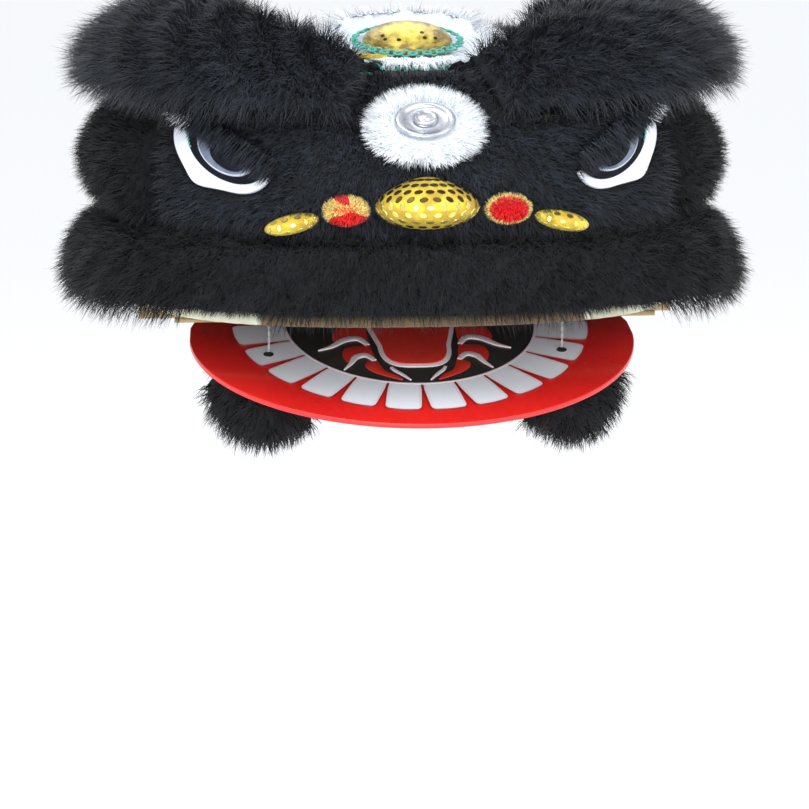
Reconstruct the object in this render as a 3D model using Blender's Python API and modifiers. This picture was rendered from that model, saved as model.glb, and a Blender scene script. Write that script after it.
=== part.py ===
"""A lion dance head: a hollow furred shell with a hinged lower jaw, built as separate pieces.

Metres, +Z up. The face looks along -Y and the head is symmetric about X = 0.
The origin is on the rim plane of the shell, below the middle of the crown.
"""

import math

import bmesh
import bpy
from mathutils import Matrix, Vector

# Shell
HEAD_HALF_WIDTH = 0.265
HEAD_FRONT = 0.215
HEAD_BACK = 0.235
HEAD_HEIGHT = 0.225
HEAD_ROUNDNESS = 2.5
SHELL_WALL = 0.003
SHELL_STEP = 10
GAP = 0.0003

# Sections of the shell from the rim to the horn's seat,
# as shares of its height, half width, front and back
SECTION_COLUMNS = ("height", "half_width", "front", "back")
SECTION_ROWS = (
    (0.00, 0.985, 0.975, 0.99),
    (0.12, 1.00, 1.00, 1.00),
    (0.38, 1.00, 1.00, 1.00),
    (0.55, 0.99, 0.975, 0.99),
    (0.70, 0.97, 0.93, 0.96),
    (0.82, 0.93, 0.86, 0.90),
    (0.91, 0.85, 0.77, 0.79),
    (0.97, 0.74, 0.66, 0.64),
    (1.00, 0.60, 0.56, 0.46),
    (1.00, 0.315, 0.535, 0.14),
)
SECTIONS = [dict(zip(SECTION_COLUMNS, row)) for row in SECTION_ROWS]

# Fur, whose locks hang a little as they stand out from the shell
FUR_STEP = 5
FUR_ROW_STEP = 0.5
FUR_GAP = 0.0005
FUR_HANG = 0.3
SEAT_GAP = 0.0007
LOCK_SHARE = 0.14
PAD_SEAM = 0.07
LIP_ROWS = (0.5, 2.0)
LIP_FRONT_DEPTH = 0.044
LIP_SIDE_DEPTH = 0.070
LIP_EDGE_SHARE = 0.80
LIP_REACH = 130
FACE_ROWS = (2.0, 8.0)
FACE_REACH = 65
FACE_DEPTH = 0.020
FACE_EDGE_SHARE = 0.55
FOREHEAD_REACH = 20
CHEEK_ROWS = (2.0, 5.0)
CHEEK_REACH = 115
CHEEK_DEPTH = 0.058
CHEEK_EDGE_SHARE = 0.45
CHEEK_SWELL = (50, 140)
BROW_ROWS = (5.0, 8.0)
BROW_REACH = 130
BROW_DEPTH = 0.094
BROW_EDGE_DEPTH = 0.016
BROW_EDGE_SHARE = 0.45
BROW_SWELL = (8, 142)
BROW_ROW_SWELL = (3.4, 8.6)
BACK_DEPTH = 0.030
BACK_EDGE_SHARE = 0.60
BACK_BOTTOM_ROW = 0
BACK_ROW_STEP = 1.0
CROWN_DEPTH = 0.020
CROWN_EDGE_DEPTH = 0.006

# Rim hoop and the two bars below it
HOOP_RADIUS = 0.007
HINGE_BAR_RADIUS = 0.008
HINGE_Y = -0.020
MOUTH_BAR_RADIUS = 0.003
MOUTH_BAR_Y = -0.115
BAR_OVERHANG = 0.006

# Eyes, half ovals whose level side lies under the brow and slopes down towards the nose
EYE_TURN = 49
EYE_ROW = 3.97
EYE_HALF_WIDTH = 0.064
EYE_HALF_HEIGHT = 0.038
EYE_TOP = 0.004
EYE_SLANT = 24
EYE_SEAT = 0.005
EYE_MARGIN = 0.024
EYE_THICKNESS = 0.004
EYE_FLAT = 0.86
SOCKET_SHARE = 0.84
SOCKET_THICKNESS = 0.002
SOCKET_FLAT = 0.92
IRIS_HALF_WIDTH = 0.036
IRIS_HALF_HEIGHT = 0.021
IRIS_DROP = 0.004
IRIS_THICKNESS = 0.008
IRIS_FLAT = 0.62
PUPIL_HALF_WIDTH = 0.019
PUPIL_HALF_HEIGHT = 0.0085
PUPIL_DROP = 0.003
PUPIL_THICKNESS = 0.002
PUPIL_FLAT = 0.5

# Nose band
NOSE_HEIGHT = 0.113
NOSE_SEAT = 0.010
NOSE_HALF_WIDTH = 0.0525
NOSE_HALF_HEIGHT = 0.026
NOSE_DEPTH = 0.036
POMPOM_X = 0.0800
POMPOM_DROP = 0.006
POMPOM_HALF_WIDTH = 0.0255
POMPOM_HALF_HEIGHT = 0.0145
POMPOM_DEPTH = 0.022
WING_X = 0.1330
WING_DROP = 0.019
WING_HALF_WIDTH = 0.027
WING_HALF_HEIGHT = 0.010
WING_DEPTH = 0.008
NOSE_MARGIN = 0.014

# Mirror rosette on the forehead
ROSETTE_ROW = 4.7
ROSETTE_TILT = 40
ROSETTE_HALF_WIDTH = 0.060
ROSETTE_HALF_HEIGHT = 0.043
ROSETTE_SEAT = 0.006
ROSETTE_DEPTH = 0.018
ROSETTE_FLAT = 0.56
MIRROR_HALF_WIDTH = 0.0305
MIRROR_HALF_HEIGHT = 0.021
MIRROR_THICKNESS = 0.004
MIRROR_FLAT = 0.7
ROSETTE_MARGIN = 0.030
BOSS_SHARE = 0.42
BOSS_THICKNESS = 0.005

# Horn
HORN_Y = -0.041
HORN_TILT = 8
HORN_HALF_WIDTH = 0.086
HORN_HALF_DEPTH = 0.076
HORN_SEAT_HEIGHT = 0.022
HORN_FUR_HEIGHT = 0.042
HORN_NECK_SHARE = 0.84
HORN_NECK_HEIGHT = 0.017
HORN_LOCK = 0.07
HORN_SEGMENTS = 28
DOME_RADIUS = 0.045
DOME_HEIGHT = 0.020
BRAID_RADIUS = 0.053
BRAID_WIRE = 0.0035
BASE_TRIM_WIRE = 0.004
FLAP_START = 196
FLAP_END = 252
FLAP_HEIGHT = 0.005
FLAP_WALL = 0.002
FLAP_STEP = 7

# The horn's fur above its neck, as shares of its half width and of its height
HORN_PROFILE_COLUMNS = ("wide", "high")
HORN_PROFILE_ROWS = ((0.97, 0.55), (1.00, 0.80), (0.90, 1.00))
HORN_PROFILE = [dict(zip(HORN_PROFILE_COLUMNS, row)) for row in HORN_PROFILE_ROWS]

# Lower jaw, a flat board that hangs open from the hinge bar
JAW_TILT = 20
JAW_HALF_WIDTH = 0.2215
JAW_LENGTH = 0.245
JAW_REAR_HALF_WIDTH = 0.200
JAW_FRONT_SHARE = 0.87
BOARD_THICKNESS = 0.005
MOUTH_START = 0.0405
FLOOR_HALF_WIDTH = 0.124
FLOOR_LENGTH = 0.124
FLOOR_BACK = 0.020
FLOOR_THICKNESS = 0.001
TEETH_HALF_WIDTH = 0.178
TEETH_LENGTH = 0.178
TEETH_COUNT = 12
TEETH_THICKNESS = 0.0015
SLIT_ROOT = 0.30
SLIT_SHARE = 0.13
TOOTH_CORNER = 0.14
TOOTH_ROUND = 0.19
TONGUE_BACK_HALF_WIDTH = 0.0400
TONGUE_FRONT_HALF_WIDTH = 0.0320
TONGUE_START = 0.026
TONGUE_END = 0.128
TONGUE_TRIM = 0.0045
TONGUE_STRAIGHT_SHARE = 0.70
TONGUE_SIDE_SQUARENESS = 0.6
TONGUE_TIP_SQUARENESS = 0.8
TONGUE_THICKNESS = 0.001
CURL_THICKNESS = 0.001
LOOP_X = 0.130
LOOP_WALL = 0.0035
LOOP_WIDTH = 0.024
LOOP_SIDES = 12
TIE_RADIUS = 0.0014
TIE_X = 0.146
BEARD_DEPTH = 0.062
BEARD_TURNS = (6, 46)
BEARD_STEP = 5
BEARD_SHARES = (0.62, 0.97)
BEARD_SHARE_STEP = 0.0875
BEARD_LOCK_SHARE = 0.22
BEARD_EDGE_SHARE = 0.55
BEARD_SWELL = (-6, 58)

# Flame curls beside the tongue: places across and along the board, and widths, on the +X side
CURL_COLUMNS = ("across", "along", "width")
UPPER_CURL = (
    (0.053, 0.074, 0.010),
    (0.060, 0.061, 0.014),
    (0.072, 0.063, 0.014),
    (0.084, 0.077, 0.009),
    (0.093, 0.094, 0.001),
)
MIDDLE_CURL = (
    (0.050, 0.101, 0.006),
    (0.056, 0.093, 0.010),
    (0.065, 0.098, 0.011),
    (0.070, 0.112, 0.007),
    (0.071, 0.128, 0.001),
)
LOWER_CURL = (
    (0.052, 0.116, 0.006),
    (0.047, 0.129, 0.011),
    (0.036, 0.140, 0.010),
    (0.024, 0.149, 0.006),
    (0.012, 0.157, 0.001),
)
CURLS = {"upper": UPPER_CURL, "middle": MIDDLE_CURL, "lower": LOWER_CURL}

# Colours, roughness and metallic value of each finish
FINISHES = {
    "black_fur": ((0.030, 0.036, 0.046), 0.90, 0.0),
    "white_fur": ((0.85, 0.88, 0.95), 0.90, 0.0),
    "shell_lining": ((0.10, 0.09, 0.08), 0.80, 0.0),
    "rim_wrap": ((0.72, 0.74, 0.58), 0.70, 0.0),
    "bamboo": ((0.50, 0.38, 0.20), 0.60, 0.0),
    "red_board": ((0.80, 0.03, 0.03), 0.30, 0.0),
    "white_paint": ((0.75, 0.78, 0.88), 0.35, 0.0),
    "mouth_black": ((0.03, 0.03, 0.026), 0.60, 0.0),
    "gold_sequin": ((0.80, 0.55, 0.06), 0.30, 0.6),
    "pompom_red": ((0.85, 0.03, 0.03), 0.90, 0.0),
    "turquoise_braid": ((0.06, 0.55, 0.42), 0.55, 0.0),
    "mirror_silver": ((0.80, 0.80, 0.80), 0.08, 1.0),
    "eye_white": ((0.85, 0.87, 0.92), 0.25, 0.0),
    "eye_iris": ((0.25, 0.27, 0.36), 0.20, 0.0),
    "eye_black": ((0.012, 0.012, 0.018), 0.20, 0.0),
    "white_cord": ((0.85, 0.85, 0.82), 0.80, 0.0),
}

SIDES = {"left": -1, "right": 1}
HOOP_FLAT = HOOP_RADIUS * math.cos(math.pi / 6)
HOOP_Z = -GAP - HOOP_FLAT
HINGE_Z = HOOP_Z - HOOP_FLAT - GAP - HINGE_BAR_RADIUS
MOUTH_BAR_Z = HOOP_Z - HOOP_FLAT - GAP - MOUTH_BAR_RADIUS
JAW_AXIS = Vector((0, HINGE_Y, HINGE_Z))
LAST_ROW = len(SECTIONS) - 1
JAW_FRONT = (JAW_LENGTH - MOUTH_START) * JAW_FRONT_SHARE


def start_scene():
    """Clears the scene and returns the collection that holds the head's pieces."""
    for obj in list(bpy.data.objects):
        bpy.data.objects.remove(obj)
    pieces = bpy.data.collections.new("lion_dance_head")
    bpy.context.scene.collection.children.link(pieces)
    return pieces


def material(name):
    colour, roughness, metallic = FINISHES[name]
    finish = bpy.data.materials.get(name) or bpy.data.materials.new(name)
    finish.use_nodes = True
    shader = finish.node_tree.nodes["Principled BSDF"]
    shader.inputs["Base Color"].default_value = (*colour, 1)
    shader.inputs["Roughness"].default_value = roughness
    shader.inputs["Metallic"].default_value = metallic
    finish.diffuse_color = (*colour, 1)
    return finish


def add_object(name, data, finish, place=None):
    obj = bpy.data.objects.new(name, data)
    PIECES.objects.link(obj)
    data.materials.append(material(finish))
    obj.matrix_world = place or Matrix()
    return obj


def add_mesh(name, shape, finish, place=None, smooth=40):
    """Makes an object of a bmesh, with its faces turned outwards."""
    bmesh.ops.recalc_face_normals(shape, faces=shape.faces)
    if shape.calc_volume(signed=True) < 0:
        bmesh.ops.reverse_faces(shape, faces=shape.faces)
    mesh = bpy.data.meshes.new(name)
    shape.to_mesh(mesh)
    shape.free()
    mesh.shade_smooth()
    mesh.set_sharp_from_angle(angle=math.radians(smooth))
    return add_object(name, mesh, finish, place)


def section(row):
    """The shell's section at a row of its table, in metres."""
    row = min(max(row, 0), LAST_ROW)
    low = min(int(row), LAST_ROW - 1)
    blend = row - low
    below, above = SECTIONS[low], SECTIONS[low + 1]
    share = {key: (1 - blend) * below[key] + blend * above[key] for key in SECTION_COLUMNS}
    front = share["front"] * HEAD_FRONT
    back = share["back"] * HEAD_BACK
    return {
        "height": share["height"] * HEAD_HEIGHT,
        "half_width": share["half_width"] * HEAD_HALF_WIDTH,
        "half_depth": (front + back) / 2,
        "middle": (back - front) / 2,
    }


def shell_point(turn, row, inset=0.0):
    """A point of the shell at a turn in degrees from the face, towards +X, and a row of the table."""
    form = section(row)
    across = math.sin(math.radians(turn))
    ahead = math.cos(math.radians(turn))
    wide = abs(across / (form["half_width"] - inset)) ** HEAD_ROUNDNESS
    deep = abs(ahead / (form["half_depth"] - inset)) ** HEAD_ROUNDNESS
    reach = (wide + deep) ** (-1 / HEAD_ROUNDNESS)
    return Vector((reach * across, form["middle"] - reach * ahead, form["height"]))


def shell_normal(turn, row):
    round_way = shell_point(turn + 3, row) - shell_point(turn - 3, row)
    up_way = shell_point(turn, row + 0.7) - shell_point(turn, row - 0.7)
    return round_way.cross(up_way).normalized()


def fur_way(turn, row):
    return (shell_normal(turn, row) - Vector((0, 0, FUR_HANG))).normalized()


def lock(turn, row):
    """Rises and falls from one lock to the next, as a share of the fur's depth."""
    return LOCK_SHARE * (-1) ** (round(turn / FUR_STEP) + round(row / FUR_ROW_STEP))


def steps(low, high, step):
    count = max(1, round((high - low) / step))
    return [low + (high - low) * index / count for index in range(count + 1)]


def thicken(shape, rise):
    """Gives a flat bmesh a second skin above it, and walls between the two."""
    made = bmesh.ops.extrude_face_region(shape, geom=shape.faces[:], use_keep_orig=True)
    lifted = [part for part in made["geom"] if isinstance(part, bmesh.types.BMVert)]
    bmesh.ops.translate(shape, verts=lifted, vec=(0, 0, rise))


def fur_pad(name, turns, rows, depth, seats=(), covers=None, row_step=FUR_ROW_STEP):
    """A closed pad of fur, from a flat grid of turns and rows that is thickened and then wrapped."""
    columns = steps(*turns, FUR_STEP)
    levels = steps(*rows, row_step)
    pad = bmesh.new()
    bmesh.ops.create_grid(pad, x_segments=len(columns) - 1, y_segments=len(levels) - 1, size=0.5)
    for index, point in enumerate(pad.verts):
        point.co = (columns[index % len(columns)], levels[index // len(columns)], 0)
    if covers:
        unused = [face for face in pad.faces if not covers(*face.calc_center_median()[:2])]
        bmesh.ops.delete(pad, geom=unused, context="FACES")
    thicken(pad, 1)
    for point in pad.verts:
        turn, row, level = point.co
        seam_row = min(max(row, rows[0] + PAD_SEAM), rows[1] - PAD_SEAM)
        seam_turn = min(max(turn, turns[0] + PAD_SEAM * FUR_STEP), turns[1] - PAD_SEAM * FUR_STEP)
        root = shell_point(seam_turn, seam_row)
        way = fur_way(seam_turn, seam_row)
        stand = FUR_GAP
        if level > 0.5:
            stand = FUR_GAP + depth(turn, row) * (1 + lock(turn, row))
            pressed = [seat.stand(root, way) for seat in seats if seat.holds(root + way * stand)]
            stand = min(pressed, default=stand)
        point.co = root + way * stand
    return add_mesh(name, pad, "black_fur", smooth=25)


class Seat:
    """A flat place pressed into the fur, where an eye, the nose or the rosette sits."""

    def __init__(self, place, half_width, half_height, margin, top=math.inf):
        self.inverse = place.inverted()
        self.half_width = half_width + margin
        self.half_height = half_height + margin
        self.top = top + margin

    def holds(self, tip):
        tip = self.inverse @ tip
        return (tip.x / self.half_width) ** 2 + (tip.y / self.half_height) ** 2 < 1 and tip.y < self.top

    def stand(self, root, way):
        """How far fur from a root can stand before it meets the seat."""
        rise = (self.inverse.to_3x3() @ way).z
        return max((-SEAT_GAP - (self.inverse @ root).z) / rise, 2 * FUR_GAP)


def facing(point, outward, slant=0.0):
    """The place of a flat piece: its own +Z looks outward, and its own +Y as far up as it can."""
    outward = outward.normalized()
    side = Vector((0, 0, 1)).cross(outward).normalized()
    turned = Matrix((side, outward.cross(side), outward)).transposed().to_4x4()
    return Matrix.Translation(point) @ turned @ Matrix.Rotation(math.radians(slant), 4, "Z")


def loft(rings):
    """A bmesh whose skin runs through closed rings of points. Each entry of rings is a list of points."""
    shape = bmesh.new()
    made = [[shape.verts.new(point) for point in ring_points] for ring_points in rings]
    for low, high in zip(made, made[1:]):
        for index in range(len(low)):
            after = (index + 1) % len(low)
            shape.faces.new((low[index], low[after], high[after], high[index]))
    shape.faces.new(made[-1])
    return shape, made


def oval(half_width, half_depth, height, segments, tilt=0.0):
    """A ring of points about Z, tipped up towards +Y by a slope."""
    points = []
    for index in range(segments):
        angle = 2 * math.pi * index / segments
        y = half_depth * math.sin(angle)
        points.append(Vector((half_width * math.cos(angle), y, height + tilt * y)))
    return points


def dome(name, size, finish, place, segments=24, rings=3, flat=0.12, cut=math.inf):
    """An oval dome of a half width, half height and thickness, with a flat back.

    A flat share of its width is level at the top, and it is cut straight above a height.
    """
    half_width, half_height, thickness = size
    levels = []
    for index in range(rings + 1):
        lean = math.radians(90 * index / rings)
        wide = flat + (1 - flat) * math.cos(lean)
        points = oval(wide * half_width, wide * half_height, thickness * math.sin(lean), segments)
        for point in points:
            point.y = min(point.y, cut)
        levels.append(points)
    shape, made = loft(levels)
    shape.faces.new(made[0][::-1])
    return add_mesh(name, shape, finish, place)


def tube(name, points, radius, finish, cyclic=False, sides=2):
    curve = bpy.data.curves.new(name, "CURVE")
    curve.dimensions = "3D"
    curve.bevel_depth = radius
    curve.bevel_resolution = sides
    curve.use_fill_caps = not cyclic
    line = curve.splines.new("POLY")
    line.points.add(len(points) - 1)
    for point, co in zip(line.points, points):
        point.co = (*co, 1)
    line.use_cyclic_u = cyclic
    return add_object(name, curve, finish)


def ring(name, half_width, half_height, wire, finish, place, segments=20):
    """A round or oval ring of wire about its own Z."""
    points = [place @ point for point in oval(half_width, half_height, 0, segments)]
    return tube(name, points, wire, finish, cyclic=True, sides=1)


def jaw_place():
    return Matrix.Translation(JAW_AXIS) @ Matrix.Rotation(math.radians(JAW_TILT), 4, "X")


def plate(name, outline, thickness, height, finish, place):
    """A flat piece from an outline of places across and along the board, with its underside at a height."""
    shape = bmesh.new()
    points = [shape.verts.new((across, -along, height)) for across, along in outline]
    shape.faces.new(points)
    thicken(shape, thickness)
    bmesh.ops.triangulate(shape, faces=[face for face in shape.faces if len(face.verts) > 4])
    return add_mesh(name, shape, finish, place)


def arch(half_width, length, angle, start=MOUTH_START):
    """A point of an oval about the mouth's middle, at an angle in degrees from +X through the front."""
    turn = math.radians(angle)
    return (half_width * math.cos(turn), start + length * math.sin(turn))


def ribbon(rows):
    """The outline of a tapering curl through its rows of place and width."""
    rows = [dict(zip(CURL_COLUMNS, row)) for row in rows]
    middle = []
    for index in range(len(rows) - 1):
        before, near, far, after = (rows[min(max(index + k, 0), len(rows) - 1)] for k in (-1, 0, 1, 2))
        for share in (0, 1 / 2):
            led = {key: (before[key], near[key], far[key], after[key]) for key in CURL_COLUMNS}
            middle.append({key: curve_between(*led[key], share) for key in CURL_COLUMNS})
    middle.append(rows[-1])
    one_side, other_side = [], []
    for index, here in enumerate(middle):
        ahead = middle[min(index + 1, len(middle) - 1)]
        behind = middle[max(index - 1, 0)]
        way = Vector((ahead["across"] - behind["across"], ahead["along"] - behind["along"])).normalized()
        half = here["width"] / 2
        one_side.append((here["across"] - way.y * half, here["along"] + way.x * half))
        other_side.append((here["across"] + way.y * half, here["along"] - way.x * half))
    return one_side + other_side[::-1]


def curve_between(before, near, far, after, share):
    """A smooth curve between near and far, led by the values on both sides."""
    square = share * share
    cube = square * share
    bend = (2 * before - 5 * near + 4 * far - after) * square + (3 * near - before - 3 * far + after) * cube
    return near + 0.5 * ((far - before) * share + bend)


def build_shell():
    turns = range(0, 360, SHELL_STEP)
    shape, _ = loft([[shell_point(turn, row) for turn in turns] for row in range(len(SECTIONS))])
    shell = add_mesh("head_shell", shape, "shell_lining")
    wall = shell.modifiers.new("wall", "SOLIDIFY")
    wall.thickness = SHELL_WALL
    wall.offset = -1


def build_rim():
    drop = Vector((0, 0, HOOP_Z))
    hoop = [shell_point(turn, 0, SHELL_WALL / 2) + drop for turn in range(0, 360, SHELL_STEP)]
    tube("rim_hoop", hoop, HOOP_RADIUS, "rim_wrap", cyclic=True, sides=1)
    for name, y, z, radius in (
        ("hinge_bar", HINGE_Y, HINGE_Z, HINGE_BAR_RADIUS),
        ("mouth_bar", MOUTH_BAR_Y, MOUTH_BAR_Z, MOUTH_BAR_RADIUS),
    ):
        reach = rim_half_width(y) + BAR_OVERHANG
        tube(name, [Vector((-reach, y, z)), Vector((reach, y, z))], radius, "bamboo")


def rim_half_width(y):
    """Half the rim's width at a place along Y."""
    form = section(0)
    share = abs((y - form["middle"]) / form["half_depth"]) ** HEAD_ROUNDNESS
    return form["half_width"] * (1 - share) ** (1 / HEAD_ROUNDNESS)


def swell(value, low, high):
    """Rises from 0 at low to 1 midway and back to 0 at high."""
    return math.sin(math.pi * min(max((value - low) / (high - low), 0), 1))


def edge_to_middle(edge_share, middle):
    """The share of a depth, from edge_share where middle is 0 to all of it where middle is 1."""
    return edge_share + (1 - edge_share) * middle


def lip_depth(turn, row):
    side = math.sin(math.radians(min(abs(turn), 90))) ** 2
    depth = LIP_FRONT_DEPTH + (LIP_SIDE_DEPTH - LIP_FRONT_DEPTH) * side
    return depth * edge_to_middle(LIP_EDGE_SHARE, swell(row, *LIP_ROWS))


def face_depth(turn, row):
    return FACE_DEPTH * edge_to_middle(FACE_EDGE_SHARE, swell(row, *FACE_ROWS))


def on_face(turn, row):
    return row < BROW_ROWS[0] or abs(turn) < FOREHEAD_REACH


def cheek_depth(turn, row):
    middle = swell(row, *CHEEK_ROWS) * swell(turn, *CHEEK_SWELL)
    return CHEEK_DEPTH * edge_to_middle(CHEEK_EDGE_SHARE, middle)


def brow_depth(turn, row):
    crest = edge_to_middle(BROW_EDGE_SHARE, swell(row, *BROW_ROW_SWELL))
    return BROW_EDGE_DEPTH + (BROW_DEPTH - BROW_EDGE_DEPTH) * swell(abs(turn), *BROW_SWELL) * crest


def back_depth(turn, row):
    return BACK_DEPTH * edge_to_middle(BACK_EDGE_SHARE, swell(row, BACK_BOTTOM_ROW, FACE_ROWS[1]))


def crown_depth(turn, row):
    share = (LAST_ROW - row) / (LAST_ROW - FACE_ROWS[1])
    return CROWN_EDGE_DEPTH + (CROWN_DEPTH - CROWN_EDGE_DEPTH) * share


def build_fur(seats):
    fur_pad("lip_fur", (-LIP_REACH, LIP_REACH), LIP_ROWS, lip_depth)
    fur_pad("face_fur", (-FACE_REACH, FACE_REACH), FACE_ROWS, face_depth, seats, on_face)
    for side, sign in SIDES.items():
        cheek = sorted((sign * FACE_REACH, sign * CHEEK_REACH))
        fur_pad("cheek_fur_" + side, cheek, CHEEK_ROWS, lambda turn, row: cheek_depth(abs(turn), row), seats)
        brow = sorted((sign * FOREHEAD_REACH, sign * BROW_REACH))
        fur_pad("brow_fur_" + side, brow, BROW_ROWS, brow_depth)
    back = (CHEEK_REACH, 360 - CHEEK_REACH)
    back_rows = (BACK_BOTTOM_ROW, FACE_ROWS[1])
    fur_pad("back_fur", back, back_rows, back_depth, covers=on_back, row_step=BACK_ROW_STEP)
    crown = (FOREHEAD_REACH, 360 - FOREHEAD_REACH)
    fur_pad("crown_fur", crown, (FACE_ROWS[1], LAST_ROW), crown_depth, row_step=1)


def on_back(turn, row):
    """The back's fur starts behind the lip, the cheeks and the brows."""
    if row < LIP_ROWS[1]:
        return LIP_REACH < turn < 360 - LIP_REACH
    if row < BROW_ROWS[0]:
        return True
    return BROW_REACH < turn < 360 - BROW_REACH


def eye_place(sign):
    turn = sign * EYE_TURN
    outward = shell_normal(turn, EYE_ROW)
    return facing(shell_point(turn, EYE_ROW) + outward * EYE_SEAT, outward, sign * EYE_SLANT)


def build_eye(side, sign, place):
    size = (EYE_HALF_WIDTH, EYE_HALF_HEIGHT, EYE_THICKNESS)
    dome("eye_white_" + side, size, "eye_white", place, 28, 2, EYE_FLAT, EYE_TOP)
    size = (SOCKET_SHARE * EYE_HALF_WIDTH, SOCKET_SHARE * EYE_HALF_HEIGHT, SOCKET_THICKNESS)
    place = place @ Matrix.Translation((0, 0, EYE_THICKNESS + GAP))
    dome("eye_socket_" + side, size, "eye_black", place, 24, 2, SOCKET_FLAT, EYE_TOP)
    size = (IRIS_HALF_WIDTH, IRIS_HALF_HEIGHT, IRIS_THICKNESS)
    place = place @ Matrix.Translation((0, -IRIS_DROP, SOCKET_THICKNESS + GAP))
    dome("eye_iris_" + side, size, "eye_iris", place, 24, 3, IRIS_FLAT, EYE_TOP + IRIS_DROP)
    size = (PUPIL_HALF_WIDTH, PUPIL_HALF_HEIGHT, PUPIL_THICKNESS)
    place = place @ Matrix.Translation((0, -PUPIL_DROP, IRIS_THICKNESS + GAP))
    dome("eye_pupil_" + side, size, "eye_black", place, 18, 2, PUPIL_FLAT)


def nose_place():
    return facing(Vector((0, -HEAD_FRONT - NOSE_SEAT, NOSE_HEIGHT)), Vector((0, -1, 0)))


def build_nose(place):
    bulb_size = (NOSE_HALF_WIDTH, NOSE_HALF_HEIGHT, NOSE_DEPTH)
    pompom_size = (POMPOM_HALF_WIDTH, POMPOM_HALF_HEIGHT, POMPOM_DEPTH)
    wing_size = (WING_HALF_WIDTH, WING_HALF_HEIGHT, WING_DEPTH)
    dome("nose_bulb", bulb_size, "gold_sequin", place, 24, 5)
    for side, sign in SIDES.items():
        pompom = place @ Matrix.Translation((sign * POMPOM_X, -POMPOM_DROP, 0))
        dome("pompom_" + side, pompom_size, "pompom_red", pompom, 20, 4)
        wing = place @ Matrix.Translation((sign * WING_X, -WING_DROP, 0))
        dome("nose_wing_" + side, wing_size, "gold_sequin", wing, 18, 2)


def rosette_place():
    tilt = math.radians(ROSETTE_TILT)
    outward = Vector((0, -math.cos(tilt), math.sin(tilt)))
    return facing(shell_point(0, ROSETTE_ROW) + outward * ROSETTE_SEAT, outward)


def build_rosette(place):
    size = (ROSETTE_HALF_WIDTH, ROSETTE_HALF_HEIGHT, ROSETTE_DEPTH)
    dome("rosette_fur", size, "white_fur", place, 28, 3, ROSETTE_FLAT)
    size = (MIRROR_HALF_WIDTH, MIRROR_HALF_HEIGHT, MIRROR_THICKNESS)
    place = place @ Matrix.Translation((0, 0, ROSETTE_DEPTH + GAP))
    dome("mirror_disc", size, "mirror_silver", place, 28, 2, MIRROR_FLAT)
    size = (BOSS_SHARE * MIRROR_HALF_WIDTH, BOSS_SHARE * MIRROR_HALF_HEIGHT, BOSS_THICKNESS)
    place = place @ Matrix.Translation((0, 0, MIRROR_THICKNESS + GAP))
    dome("mirror_boss", size, "mirror_silver", place, 18)


def build_horn():
    """A collar of fur on the crown, with a sequinned dome and a braid in the hollow of its top."""
    tilt = math.tan(math.radians(HORN_TILT))
    neck_width = HORN_NECK_SHARE * HORN_HALF_WIDTH
    neck_depth = HORN_NECK_SHARE * HORN_HALF_DEPTH
    rings = [oval(neck_width, neck_depth, level, HORN_SEGMENTS) for level in (0, HORN_NECK_HEIGHT)]
    for index, level in enumerate(HORN_PROFILE):
        half_width = level["wide"] * HORN_HALF_WIDTH
        half_depth = level["wide"] * HORN_HALF_DEPTH
        points = oval(half_width, half_depth, level["high"] * HORN_FUR_HEIGHT, HORN_SEGMENTS, tilt)
        for step, point in enumerate(points):
            swing = 1 + HORN_LOCK * (-1) ** (step + index)
            point.x *= swing
            point.y *= swing
        rings.append(points)
    seat_radius = BRAID_RADIUS + 2 * BRAID_WIRE
    rings.append(oval(seat_radius, seat_radius, HORN_SEAT_HEIGHT, HORN_SEGMENTS, tilt))
    shape, made = loft(rings)
    shape.faces.new(made[0][::-1])
    crown = Matrix.Translation((0, HORN_Y, HEAD_HEIGHT + GAP))
    add_mesh("horn_fur", shape, "white_fur", crown, smooth=25)
    tipped = Matrix.Rotation(math.radians(HORN_TILT), 4, "X")
    seat = crown @ Matrix.Translation((0, 0, HORN_SEAT_HEIGHT)) @ tipped
    dome_seat = seat @ Matrix.Translation((0, 0, GAP))
    dome("horn_dome", (DOME_RADIUS, DOME_RADIUS, DOME_HEIGHT), "gold_sequin", dome_seat, 24, 4)
    braid_seat = seat @ Matrix.Translation((0, 0, BRAID_WIRE + GAP))
    ring("horn_braid", BRAID_RADIUS, BRAID_RADIUS, BRAID_WIRE, "turquoise_braid", braid_seat)
    trim_width = neck_width + BASE_TRIM_WIRE + GAP
    trim_depth = neck_depth + BASE_TRIM_WIRE + GAP
    trim_seat = crown @ Matrix.Translation((0, 0, BASE_TRIM_WIRE))
    trim_finish = "turquoise_braid"
    ring("horn_base_trim", trim_width, trim_depth, BASE_TRIM_WIRE, trim_finish, trim_seat, HORN_SEGMENTS)
    flap_seat = crown @ Matrix.Translation((0, 0, 2 * BASE_TRIM_WIRE + GAP))
    build_flap(neck_width + GAP, neck_depth + GAP, flap_seat)


def build_flap(half_width, half_depth, place):
    """A short sequinned band round the horn's neck, above the braid."""
    shape = bmesh.new()
    columns = []
    for angle in steps(FLAP_START, FLAP_END, FLAP_STEP):
        turn = math.radians(angle)
        for wall in (0, FLAP_WALL):
            across = (half_width + wall) * math.cos(turn)
            deep = (half_depth + wall) * math.sin(turn)
            columns.append(Vector((across, deep, 0)))
    points = [shape.verts.new(point) for point in columns]
    for index in range(0, len(points) - 2, 2):
        shape.faces.new((points[index], points[index + 1], points[index + 3], points[index + 2]))
    thicken(shape, FLAP_HEIGHT)
    add_mesh("horn_flap", shape, "gold_sequin", place)


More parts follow.
